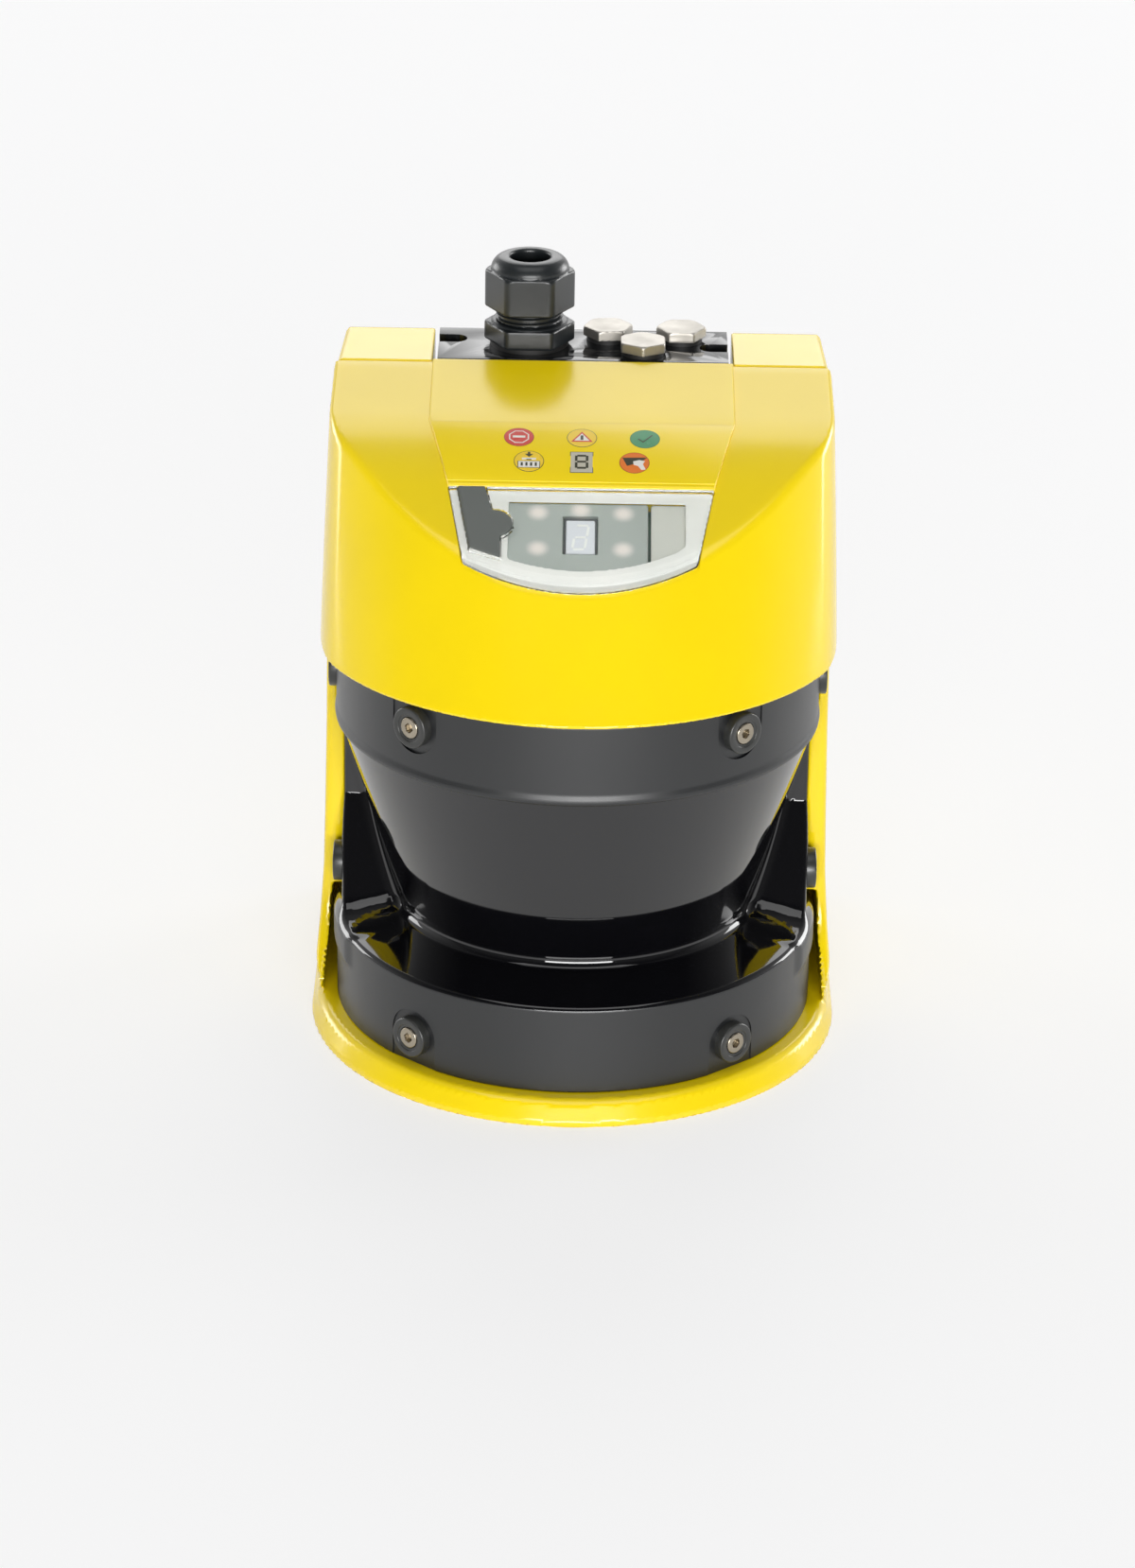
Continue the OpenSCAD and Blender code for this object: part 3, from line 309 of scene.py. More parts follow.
def shade_like(piece, field):
    """Takes each corner's shading from the distance function, and keeps cut edges sharp."""
    mesh = piece.data
    points = np.empty(len(mesh.vertices) * 3)
    mesh.vertices.foreach_get("co", points)
    points = points.reshape(-1, 3) / MM
    g = gradient(field, points)
    g /= np.maximum(np.linalg.norm(g, axis=1, keepdims=True), 1e-9)
    on_skin = np.abs(field(*points.T)) < 0.02
    corner = np.empty(len(mesh.loops), int)
    mesh.loops.foreach_get("vertex_index", corner)
    flat = np.empty(len(mesh.polygons) * 3)
    mesh.polygons.foreach_get("normal", flat)
    flat = flat.reshape(-1, 3)
    sides = np.empty(len(mesh.polygons), int)
    mesh.polygons.foreach_get("loop_total", sides)
    face_normal = np.repeat(flat, sides, axis=0)
    wanted = g[corner]
    close = (np.einsum("ij,ij->i", wanted, face_normal) > 0.6) & on_skin[corner]
    normals = np.where(close[:, None], wanted, face_normal)
    mesh.polygons.foreach_set("use_smooth", [True] * len(mesh.polygons))
    mesh.normals_split_custom_set(normals.tolist())
    mesh.update()


def skin_piece(name, field, low, high, step, coat, polar=False, shade=True):
    """A rounded piece meshed from its distance function."""
    piece = mesh_piece(name, *skin(field, low, high, step, polar), coat)
    if shade:
        shade_like(piece, field)
    return piece


def cut(piece, cutters):
    """Takes the cutters' shapes out of the piece, leaving crisp edges."""
    for cutter in cutters:
        change = piece.modifiers.new("cut", "BOOLEAN")
        change.operation = "DIFFERENCE"
        change.solver = "EXACT"
        change.object = cutter
        now = piece.evaluated_get(bpy.context.evaluated_depsgraph_get())
        mesh = bpy.data.meshes.new_from_object(now)
        piece.modifiers.remove(change)
        old, piece.data = piece.data, mesh
        bpy.data.meshes.remove(old)
        bpy.data.objects.remove(cutter)


def prism(name, outline, low, high, place=None):
    """A straight prism over an outline, for cutting and for small flat pieces."""
    turned = sum(a[0] * b[1] - a[1] * b[0] for a, b in zip(outline, outline[1:] + outline[:1]))
    outline = outline if turned > 0 else outline[::-1]
    n = len(outline)
    points = [(x, y, low) for x, y in outline] + [(x, y, high) for x, y in outline]
    if place:
        points = [place(*p) for p in points]
    faces = [list(range(n))[::-1], list(range(n, 2 * n))]
    faces += [[i, (i + 1) % n, (i + 1) % n + n, i + n] for i in range(n)]
    return mesh_piece(name, points, faces, None, smooth=False)


def round_outline(x, y, r, n=48, turn=0.0):
    """Points of a circle, or of a regular polygon."""
    return [(x + r * math.cos(turn + 2 * math.pi * i / n), y + r * math.sin(turn + 2 * math.pi * i / n))
            for i in range(n)]


def bar_outline(x0, y0, x1, y1, wide, short=0.0):
    """Outline of a straight bar between two places, with its ends drawn in."""
    along = Vector((x1 - x0, y1 - y0)).normalized()
    side = Vector((-along.y, along.x)) * wide / 2
    start, end = Vector((x0, y0)) + along * short, Vector((x1, y1)) - along * short
    return [tuple(p) for p in (start - side, end - side, end + side, start + side)]


def lathe(name, profile, coat, n=64, place=None):
    """A turned piece: its profile is radius against height, closed onto the axis where the radius is 0."""
    points, rings = [], []
    for r, z in profile:
        if r <= 0:
            rings.append([len(points)])
            points.append((0, 0, z))
        else:
            rings.append(range(len(points), len(points) + n))
            points += [(x, y, z) for x, y in round_outline(0, 0, r, n)]
    faces = []
    for a, b in zip(rings, rings[1:]):
        for i in range(n):
            j = (i + 1) % n
            if len(a) == 1:
                faces.append([a[0], b[j], b[i]])
            elif len(b) == 1:
                faces.append([a[i], a[j], b[0]])
            else:
                faces.append([a[i], a[j], b[j], b[i]])
    if place:
        points = [place(*p) for p in points]
    return mesh_piece(name, points, faces, coat)


def sharpen(piece, degrees=35):
    """Keeps edges steeper than this angle sharp in the shading."""
    piece.data.set_sharp_from_angle(angle=math.radians(degrees))


def placed_skin(name, field, low, high, step, coat, place, crisp=40):
    """A rounded piece written in its own directions and then set in its place."""
    points, faces = skin(field, low, high, step)
    piece = mesh_piece(name, np.stack(place(*points.T), 1), faces, coat)
    if crisp:
        sharpen(piece, crisp)
    return piece


def soften_edges(piece, width, segments=3, degrees=30):
    """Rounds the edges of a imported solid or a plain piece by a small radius."""
    weld = piece.modifiers.new("weld", "WELD")
    weld.merge_threshold = 2e-6
    flat = piece.modifiers.new("merge flats", "DECIMATE")
    flat.decimate_type = "DISSOLVE"
    flat.angle_limit = math.radians(1.0)
    bevel = piece.modifiers.new("soft edges", "BEVEL")
    bevel.width = width * MM
    bevel.segments = segments
    bevel.limit_method = "ANGLE"
    bevel.angle_limit = math.radians(degrees)
    bevel.harden_normals = True
    bevel.miter_outer = "MITER_ARC"
    for polygon in piece.data.polygons:
        polygon.use_smooth = True


def dress(node, coat, width=0.0):
    """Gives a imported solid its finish, and soft edges if asked."""
    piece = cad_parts[node]
    piece.data.materials.clear()
    piece.data.materials.append(finish(coat))
    if width > 0:
        soften_edges(piece, width)


def first_only(i, node):
    """The first of several like pieces stands for the solid that holds them all."""
    return (node,) if i == 0 else ()


def belong(piece, body, slot_name, *nodes):
    """The piece moves with its body and stands for its solids. slot_name is not used."""
    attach(piece, body)
    if nodes:
        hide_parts(*nodes)
    return piece


# ------------------------------------------------------------------ the hood's slope
def down(a):
    """Direction down a slope of angle a, as (y, z)."""
    return np.array([-math.cos(a), -math.sin(a)])


def out_of(a):
    """Direction out of a slope of angle a, as (y, z)."""
    return np.array([-math.sin(a), math.cos(a)])


class Slope:
    """The sloping top of the hood: a straight run, a bend and a second straight run with the window."""

    def __init__(self):
        s = sizes("hood")
        self.a1, self.a2 = s.upper_slope, s.lower_slope
        self.radius = s.bend_radius / MM
        self.top = np.array([s.flat_front, s.top_height]) / MM
        self.centre = self.top + s.slope_length / MM * down(self.a1) - self.radius * out_of(self.a1)
        self.bend_end = self.centre + self.radius * out_of(self.a2)
        self.origin = self.bend_end + 0.4 * down(self.a2)

    def distance(self, y, z):
        """Signed distance above the slope."""
        qy, qz = y - self.centre[0], z - self.centre[1]
        turn = np.arctan2(-qy, qz)
        o1, o2 = out_of(self.a1), out_of(self.a2)
        d1 = (y - self.top[0]) * o1[0] + (z - self.top[1]) * o1[1]
        d2 = np.hypot(qy, qz) - self.radius
        d3 = (y - self.bend_end[0]) * o2[0] + (z - self.bend_end[1]) * o2[1]
        return np.where(turn < self.a1, d1, np.where(turn < self.a2, d2, d3))

    def height(self, y, off=0.0):
        """Height of the slope at some y, raised by off along its own outward direction."""
        y = np.asarray(y, float)
        z1 = self.top[1] + (y - self.top[0]) * math.tan(self.a1) + off / math.cos(self.a1)
        r = self.radius + off
        z2 = self.centre[1] + np.sqrt(np.maximum(r * r - (y - self.centre[0]) ** 2, 0))
        z3 = self.bend_end[1] + (y - self.bend_end[0]) * math.tan(self.a2) + off / math.cos(self.a2)
        turn = np.arcsin(np.clip((self.centre[0] - y) / r, -1, 1))
        return np.where(turn < self.a1, z1, np.where(turn < self.a2, z2, z3))

    def from_window(self, u, v, w):
        """A place given across, up and out of the display slope, in the row frame."""
        c, s = math.cos(self.a2), math.sin(self.a2)
        return u, self.origin[0] + v * c - w * s, self.origin[1] + v * s + w * c


# how far the prow's centre moves back and its radius grows, per length upwards
PROW_LEAN, PROW_GROWTH = 0.868, 0.105


def prow_distance(x, y, z):
    """Distance outside the leaning cone that is the hood's front."""
    s = sizes("hood")
    rise = z - s.joint_height / MM
    centre = s.prow_centre / MM + PROW_LEAN * rise
    forward = np.minimum(y - centre, 0)
    out = np.hypot(x, forward)
    steep = PROW_LEAN * -forward / np.maximum(out, 1e-6) - PROW_GROWTH
    return (out - s.prow_radius / MM - PROW_GROWTH * rise) / np.sqrt(1 + steep ** 2)


def hood_side(x, z, inset=0.0):
    """Distance outside the hood's leaning sides."""
    s = sizes("hood")
    lean = math.tan(s.draft)
    return (np.abs(x) - (s.half_width / MM - inset - lean * (z - s.joint_height / MM))) * math.cos(s.draft)


def window_outline(gap=0.0, length=60.0):
    """Outline of the display window, across and up the slope."""
    w = sizes("window")
    half, narrow = w.half_width / MM - gap, w.narrowing * length
    return [(-half, -gap), (half, -gap), (half - narrow, -length), (narrow - half, -length)]


# the well under the display window: its edges, the split between its panels and the lip in front
PANEL_LEFT, PANEL_RIGHT, PANEL_TOP, PANEL_SPLIT = -20.7, 29.8, -4.4, 19.3
FRONT_LIP = 4.2
# the opening for the service socket: place across and up the slope, and radius
SOCKET_HOLE = (-28.6, -13, 4.3)
# radii where the prow meets the sides, along the top, and along the shoulders
SIDE_ROUND, TOP_ROUND, SHOULDER_ROUND = 5.0, 0.8, 1.6
# the joint between the front and the shoulders
JOINT_ROUND, JOINT_GAP = 0.5, 0.02
# the channel between the shoulders and the sides' taper
CHANNEL_HALF, CHANNEL_DEPTH, SHOULDER_TAPER = 44.1, 20, math.radians(2.4)


def hood_front_field(x, y, z):
    """The front mass of the hood, up to the flat top's front edge."""
    s = sizes("hood")
    walls = both(prow_distance(x, y, z), hood_side(x, z), SIDE_ROUND)
    top = both(Slope().distance(y, z), z - s.top_height / MM, TOP_ROUND)
    shape = both(walls, top, s.crease_round / MM)
    shape = both(shape, s.joint_height / MM - z, s.edge_round / MM)
    # a tongue 1 mm long fills the gap in front of the plug plate
    behind = y - s.flat_front / MM - np.where(np.abs(x) < CHANNEL_HALF - 0.5, 1, 0)
    return both(shape, behind, JOINT_ROUND)


def hood_rear_field(x, y, z):
    """The two shoulders and the block under the plug."""
    s = sizes("hood")
    front, top = s.flat_front / MM, s.top_height / MM
    taper = (y - front) * math.tan(SHOULDER_TAPER)
    side = hood_side(x, z, s.shoulder_step / MM + np.maximum(taper, 0))
    shape = both(side, z - top, SHOULDER_ROUND)
    shape = both(shape, y - s.rear / MM, SHOULDER_ROUND)
    shape = both(shape, s.joint_height / MM - z, s.edge_round / MM)
    shape = both(shape, front + JOINT_GAP - y, JOINT_ROUND)
    channel = np.maximum(np.abs(x) - CHANNEL_HALF, top - CHANNEL_DEPTH - z)
    return without(shape, channel, 0.6)


def build_panel():
    """The raised middle panel: rows across the slope, each with rounded ends."""
    s = sizes("hood")
    slope = Slope()
    window_half = sizes("window").half_width / MM
    rise, half, r, root = s.panel_rise / MM, s.panel_half / MM, 0.6, -0.2
    bend, low, top = 17.0, float(slope.origin[0]) + 0.05, s.flat_front / MM
    quarter = [(r - r * math.cos(a), rise - r + r * math.sin(a)) for a in np.radians([22.5, 45, 67.5, 90])]
    arc = [(0, root), (0, rise - r)] + quarter
    ends = [(low + run, h) for run, h in arc]
    rows = ends + [(y, rise) for y in np.linspace(low + 2 * r, top - 2 * r, 44)]
    rows += [(top - (y - low), h) for y, h in reversed(ends)]
    arc += [(3, rise)]
    points = []
    for y, h in rows:
        edge = half if y > bend else half + (window_half - half) * (bend - y) / (bend - low)
        line = [(-edge + i, min(k, h)) for i, k in arc]
        line += [(t * (edge - 3), min(rise, h)) for t in np.linspace(-0.9, 0.9, 15)]
        line += [(edge - i, min(k, h)) for i, k in reversed(arc)]
        points += [(x, y, float(slope.height(y, k))) for x, k in line]
    n, last = len(points) // len(rows), len(rows) - 1
    faces = [[a * n + b, a * n + b + 1, (a + 1) * n + b + 1, (a + 1) * n + b]
             for a in range(last) for b in range(n - 1)]
    faces.append(list(range(n))[::-1])
    faces.append(list(range(last * n, last * n + n)))
    faces.append([a * n for a in range(last + 1)])
    faces.append([a * n + n - 1 for a in range(last + 1)][::-1])
    piece = mesh_piece("hood_panel", points, faces, "yellow powder coat")
    sharpen(piece, 40)
    return piece


def build_hood():
    """The cast hood with the recess for the display window."""
    place = Slope().from_window
    low, high, step, split = HOOD_LOW - 2, HOOD_HIGH + 2, 1.15, sizes("hood").flat_front / MM
    front = skin_piece("hood_front", hood_front_field, low, (high[0], split + 4, high[2]), step,
                       "yellow powder coat", shade=False)
    left, right, upper = PANEL_LEFT - 0.3, PANEL_RIGHT + 0.3, PANEL_TOP + 0.4
    well = [(left, upper), (right, upper), (right, -22), (24, -28), (10, -31.5), (-4, -32.5), (left, -30)]
    cut(front, [prism("recess", window_outline(-0.15), -2.3, 20, place),
                prism("display_well", well, -7.0, 4, place),
                prism("socket_well", round_outline(*SOCKET_HOLE), -16, 4, place)])
    shade_like(front, hood_front_field)
    rear = skin_piece("hood_rear", hood_rear_field, (low[0], split - 2, low[2]), high, step,
                      "yellow powder coat")
    panel = build_panel()
    belong(front, "housing", "powder_yellow", "hood_casting")
    belong(rear, "housing", "powder_yellow")
    belong(panel, "housing", "powder_yellow")


# ------------------------------------------------------------------ the frame
# height and half width over the walls, which flare towards the flange
FLARE = [(0, 77.5), (1.5, 77.5), (13, 76.7), (25, 75.6), (42, 74.5), (62, 74.0), (88, 73.5), (121, 73.2)]


def frame_field(x, y, z):
    """The cast frame: a flange, two walls that sweep into it and a rear wall."""
    f = sizes("frame")
    flange_r, flange_h = f.flange_radius / MM, f.flange_height / MM
    rear, top = FRAME_HIGH[1], FRAME_HIGH[2]
    sweep = f.sweep_height / MM - flange_h
    wall_half = np.interp(z, *zip(*FLARE))
    in_plan = np.hypot(x, np.minimum(y, 0))
    # walls, whose front edges sweep forwards into the flange
    centre_y = f.wall_front / MM - sweep
    ahead = sweep - np.hypot(np.maximum(y - centre_y, 0), np.minimum(z - flange_h - sweep, 0))
    ahead = np.where(y < centre_y, sweep, ahead)
    walls = both(np.abs(x) - wall_half, ahead, f.edge_round / MM)
    set_back = np.interp(z, [flange_h - 1.2, flange_h, flange_h + 12], [2.2, 3.0, 0.0])
    walls = both(walls, in_plan - flange_r + set_back, 0.6)
    walls = both(walls, y - rear, 2.0)
    # the hollow for the cover, less the lips that the cover stands against
    inner = wall_half - f.wall_thickness / MM
    open_side = np.maximum(np.abs(x) - inner, y - (rear - 5))
    hollow = np.minimum(open_side, np.hypot(x, y) - 70.3)
    lip = np.maximum(slab(z, 36, 96), np.maximum(y - 14, 68.9 - np.hypot(x, y)))
    lip = np.maximum(lip, 60 - np.abs(x))
    hollow = np.maximum(np.maximum(hollow, -lip), flange_h - z)
    walls = without(walls, hollow, 0.5)
    edge = flange_r - np.interp(z, [0, 1.5, flange_h - 1.2, flange_h], [0, 0, 2.2, 3.2])
    flange = both(in_plan - edge, z - flange_h, 1.3)
    flange = both(flange, y - rear, 2.0)
    shape = either(walls, flange, 1.2)
    return both(both(shape, -z, 0.5), z - top, 0.5)


def build_frame():
    """The cast frame with its four blind mounting holes."""
    piece = skin_piece("frame", frame_field, FRAME_LOW - 2, FRAME_HIGH + 2, 1.25, "yellow powder coat",
                       shade=False)
    holes = []
    for x in (-51.0, 51.0):
        for height in (21.0, 99.0):
            outline = round_outline(x, height, 2.5, 32)
            holes.append(prism("hole", outline, -90.0, -72.5, lambda u, v, w: (u, -w, v)))
    cut(piece, holes)
    shade_like(piece, frame_field)
    belong(piece, "housing", "powder_yellow", "frame_casting")


# ------------------------------------------------------------------ the optics cover
def leaning(r, z, foot, lean):
    """Distance outside a straight line of the half section, from a point on it and its change of radius."""
    return (r - foot[0] - lean * (z - foot[1])) / math.hypot(1, lean)


def drum_distance(r, z):
    """Distance outside the lower drum with its sloping ledge."""
    c = sizes("cover")
    band, rim = c.band_radius / MM, c.rim_height / MM
    valley_r, valley_h = c.valley_radius / MM, c.valley_height / MM
    fall = (valley_h - rim) / (band - valley_r)
    ledge = (z - rim + fall * (r - band)) / math.hypot(1, fall)
    return both(r - band, ledge, 1.2)


def cone_distance(r, z):
    """Distance outside the cone that is the scan window."""
    c = sizes("cover")
    valley_r, valley_h = c.valley_radius / MM, c.valley_height / MM
    top_r, top_h = c.window_top_radius / MM, c.band_height / MM
    lean = (top_r - valley_r) / (top_h - 0.6 - valley_h)
    return both(leaning(r, z, (valley_r, valley_h), lean), z - top_h - 1)


def band_distance(r, z):
    """Distance outside the upper band, which swells a little at its lower edge."""
    c = sizes("cover")
    band, low = c.band_radius / MM, c.band_height / MM
    swell = np.interp(z, [low + 1.5, low + 3], [0.4, 0.0])
    return both(r - band - swell, low - z, 0.5)


# angle of the cheeks' slanted front, and radius of the sweep at its foot
CHEEK_LEAN, CHEEK_SWEEP = math.radians(58.5), 16.0
# where the slanted front crosses the rim's height, the cheeks' rear end and their top
CHEEK_FOOT, CHEEK_REAR, CHEEK_TOP = -14.0, 16, 98.5
# how far the cheeks reach into the drum below the rim
CHEEK_ROOT = 8


def cheek_side():
    """Side view of a cheek: it sweeps up from the ledge, then stands upright beside the window."""
    c = sizes("cover")
    rim = c.rim_height / MM
    knee_y = c.rear / MM - 6
    knee_z = rim + (knee_y - CHEEK_FOOT) * math.tan(CHEEK_LEAN)
    low = rim - 1.5
    corner_y = knee_y - (knee_z - low) / math.tan(CHEEK_LEAN)
    centre_y, centre_z = corner_y - CHEEK_SWEEP * math.tan(CHEEK_LEAN / 2), low + CHEEK_SWEEP
    arc = [(centre_y + CHEEK_SWEEP * math.sin(a), centre_z - CHEEK_SWEEP * math.cos(a))
           for a in np.linspace(0, CHEEK_LEAN, 9)]
    return [(CHEEK_REAR, rim - CHEEK_ROOT), (centre_y, rim - CHEEK_ROOT), *arc, (knee_y, knee_z),
            (knee_y, CHEEK_TOP), (CHEEK_REAR, CHEEK_TOP)]


def cover_solid(x, y, z):
    """Outside of the cover, as a solid."""
    c = sizes("cover")
    r = np.hypot(x, y)
    cheek_r, rim = c.cheek_radius / MM, c.rim_height / MM
    turned = either(drum_distance(r, z), cone_distance(r, z), c.fillet / MM)
    limit = [(0, rim - CHEEK_ROOT), (cheek_r + 0.6, rim - CHEEK_ROOT), (cheek_r + 0.6, rim + 0.2),
             (cheek_r + 0.3, rim + 4), (cheek_r, rim + 9), (cheek_r, CHEEK_TOP), (0, CHEEK_TOP)]
    limit = polygon_distance(limit, r, z)
    cheeks = both(polygon_distance(cheek_side(), y, z), limit, 1.2)
    shape = either(turned, cheeks, c.cheek_fillet / MM)
    return np.minimum(shape, band_distance(r, z))


def cover_field(x, y, z):
    """The moulded optics cover: a shell open to the rear, the top and the bottom."""
    c = sizes("cover")
    outside = cover_solid(x, y, z)
    inside = outside + c.thickness / MM
    shell = both(outside, z - COVER_HIGH[2], 0.4)
    shell = both(shell, 7.5 - z, 0.3)
    shell = without(shell, inside)
    return both(shell, y - c.rear / MM)


# angle from the front, radius, height, and which way the pocket round the screw opens
COVER_SCREWS = [(side * az, radius, height, up)
                for az, radius, height, up in ((41.0, 69.2, 113.2, 1), (41.0, 69.2, 16.2, -1),
                                               (91.3, 68.2, 46.5, 0), (91.3, 69.2, 108.7, 0))
                for side in (-1, 1)]
POCKET_RADIUS = 8.2
WASHER_PROFILE = [(2.2, 0), (6.0, 0), (6.0, 2.5), (5.9, 2.72), (5.7, 2.86), (5.5, 2.9), (4.2, 2.9),
                  (4.05, 2.82), (4.0, 2.62), (3.85, 2.55), (3.35, 2.55), (3.22, 2.45), (3.2, 2.3),
                  (3.2, 0.7), (2.2, 0.7), (2.2, 0)]
HEAD_RADIUS, HEAD_LOW, HEAD_HIGH = 3.1, 0.6, 2.8
KEY_HALF, KEY_DEPTH, KEY_ANGLES = 1.3, 1.2, (0.3, 1.347, 2.394)


def on_cover(az, radius, height):
    """A function that places pieces on the cover: u across, v up, w outwards."""
    s, c = math.sin(math.radians(az)), math.cos(math.radians(az))

    def place(u, v, w):
        return s * (radius + w) + c * u, s * u - c * (radius + w), height + v
    return place


def build_cover():
    """The cover with the pockets round its front screws."""
    piece = skin_piece("optics_shell", cover_field, (-106, 46, 5), (106, 73, 123), (1.1, 0.85, 0.85),
                       "gloss black moulding", polar=True, shade=False)
    pockets = []
    r = POCKET_RADIUS
    for az, radius, height, up in COVER_SCREWS[:4]:
        arc = [(r * math.cos(a), r * math.sin(a) * up) for a in np.radians(np.linspace(180, 360, 25))]
        outline = arc + [(r, 30 * up), (-r, 30 * up)]
        pockets.append(prism("pocket", outline, 0.0, 8.0, on_cover(az, radius, height)))
    cut(piece, pockets)
    shade_like(piece, cover_field)
    belong(piece, "housing", "cover_black", "optics_cover")
    # the two bands have the matt finish
    piece.data.materials.append(finish("matt black moulding"))
    c = sizes("cover")
    for polygon in piece.data.polygons:
        z = polygon.center.z / MM
        r = math.hypot(polygon.center.x, polygon.center.y) / MM
        upright = abs(polygon.normal.z) < 0.5 and r > c.band_radius / MM - 2.2
        if upright and (z < c.rim_height / MM - 0.4 or z > c.band_height / MM + 0.3):
            polygon.material_index = 1


def screw_head(u, v, w):
    """A round screw head with a hexagon socket."""
    disc = both(np.hypot(u, v) - HEAD_RADIUS, slab(w, HEAD_LOW, HEAD_HIGH), 0.35)
    key = np.maximum.reduce([np.abs(u * math.cos(a) + v * math.sin(a)) for a in KEY_ANGLES]) - KEY_HALF
    return without(disc, np.maximum(key, KEY_DEPTH - w), 0.1)


def build_fasteners():
    """Black washers and socket screws that hold the cover."""
    for i, (az, radius, height, _) in enumerate(COVER_SCREWS):
        place = on_cover(az, radius, height)
        ring = lathe("cover_washer_%d" % (i + 1), WASHER_PROFILE, "black washer", 72, place)
        sharpen(ring, 50)
        belong(ring, "housing", "washer_black", *first_only(i, "cover_washers"))
        screw = placed_skin("cover_screw_%d" % (i + 1), screw_head, (-3.6, -3.6, 0.2), (3.6, 3.6, 3.3),
                            0.22, "bronzed screw", place)
        belong(screw, "housing", "screw_bronze", *first_only(i, "cover_screws"))


# ------------------------------------------------------------------ display window, flap and legend
# the ends of the flap's hinge line and the middle of its finger lobe
FLAP_TOP, FLAP_LOW, LOBE = (-35.4, -0.2), (-31.48, -24.5), (-24.4, -14.7)


def flap_outline_distance(u, v, grow=0.0):
    """Distance outside the flap's outline on the slope."""
    w = sizes("window")
    outline = [(FLAP_TOP[0] + 0.6, FLAP_TOP[1]), (-27.2, FLAP_TOP[1]), (-25.6, -7.2), (-22.6, -20.4),
               (-22.4, -28), (FLAP_LOW[0] + 0.6, FLAP_LOW[1])]
    lobe = np.hypot(u - LOBE[0], v - LOBE[1]) - w.lobe_radius / MM
    return either(polygon_distance(outline, u, v), lobe, 0.8) - grow


def hinge_distance(u, v, w_out):
    """Distance from the flap's hinge line."""
    s = sizes("window")
    r = s.flap_thickness / MM / 2
    rise = sizes("hood").panel_rise / MM
    a = np.array([FLAP_TOP[0] + r, FLAP_TOP[1]])
    b = np.array([FLAP_LOW[0] + r, FLAP_LOW[1]])
    along = (b - a) / np.linalg.norm(b - a)
    side = (u - a[0]) * -along[1] + (v - a[1]) * along[0]
    run = (u - a[0]) * along[0] + (v - a[1]) * along[1]
    ends = np.maximum(-run, run - np.linalg.norm(b - a))
    return np.hypot(side, w_out - (rise - r)), ends


def sloped_piece(name, field, low, high, step, coat, slot_name, *nodes, crisp=40, body="housing"):
    """A rounded piece written in the slope's own directions, set on the slope and given to its body."""
    piece = placed_skin(name, field, low, high, step, coat, Slope().from_window, crisp)
    return belong(piece, body, slot_name, *nodes)


# bars of the lit digit, as their ends across and up, in half widths and half heights of the digit
LIT_BARS = ((-1, 1, 1, 1), (-1, 0, 1, 0), (-1, -1, 1, -1), (1, 0, 1, 1), (-1, 0, -1, -1), (1, 0, 1, -1))


def well_distance(u, v, grow=0.0):
    """Distance outside the well under the window, with its slanted corner."""
    middle, half = (PANEL_LEFT + PANEL_RIGHT) / 2, (PANEL_RIGHT - PANEL_LEFT) / 2
    shape = np.maximum(np.abs(u - middle) - half, v - PANEL_TOP)
    corner = (u - PANEL_RIGHT) * 0.8 + (-v - 21.5) * 0.6
    return np.maximum(shape, corner) - grow


def prow_limit(u, v, w, inset):
    """Distance outside the prow, drawn in by a little, for a place given on the slope."""
    return prow_distance(*Slope().from_window(u, v, w)) + inset


def build_digit():
    """The digit: a pale face in a dark frame, with its lit bars."""
    def face(u, v, w):
        return both(np.maximum(np.abs(u) - 4.1, np.abs(v + 17.4) - 6.6), slab(w, -5.2, -2.9), 0.3)
    sloped_piece("digit_face", face, (-5, -25, -5.8), (5, -9, -2), 0.35, "digit face", "digit_grey",
                 "digit_display")

    def rim(u, v, w):
        outer = np.maximum(np.abs(u) - 4.65, np.abs(v + 17.2) - 7.2)
        inner = np.maximum(np.abs(u) - 4.25, np.abs(v + 17.4) - 6.75)
        return np.maximum(np.maximum(outer, -inner), slab(w, -5, -3.0))
    sloped_piece("digit_rim", rim, (-5.4, -25.4, -5.6), (5.4, -9, -2.4), 0.3, "digit frame", "digit_grey",
                 crisp=0)

    slope = Slope()
    lean, wide, tall, gap, middle = 0.12, 1.75, 4.7, 0.3, -17.6
    points, faces = [], []
    for x0, y0, x1, y1 in LIT_BARS:
        # upright bars run from the middle and end a little short of the level ones
        short = gap if x0 == x1 else 0
        bar = bar_outline(x0 * wide, y0 * tall + y1 * short, x1 * wide, y1 * (tall - short), 0.72, 0.25)
        n = len(points)
        for w in (-2.95, -2.8):
            points += [slope.from_window(u + lean * v, v + middle, w) for u, v in bar]
        faces += [[n + 3, n + 2, n + 1, n], [n + 4, n + 5, n + 6, n + 7]]
        faces += [[n + i, n + (i + 1) % 4, n + 4 + (i + 1) % 4, n + 4 + i] for i in range(4)]
    piece = mesh_piece("digit_bars", points, faces, "digit lit", smooth=False)
    belong(piece, "housing", "digit_grey")


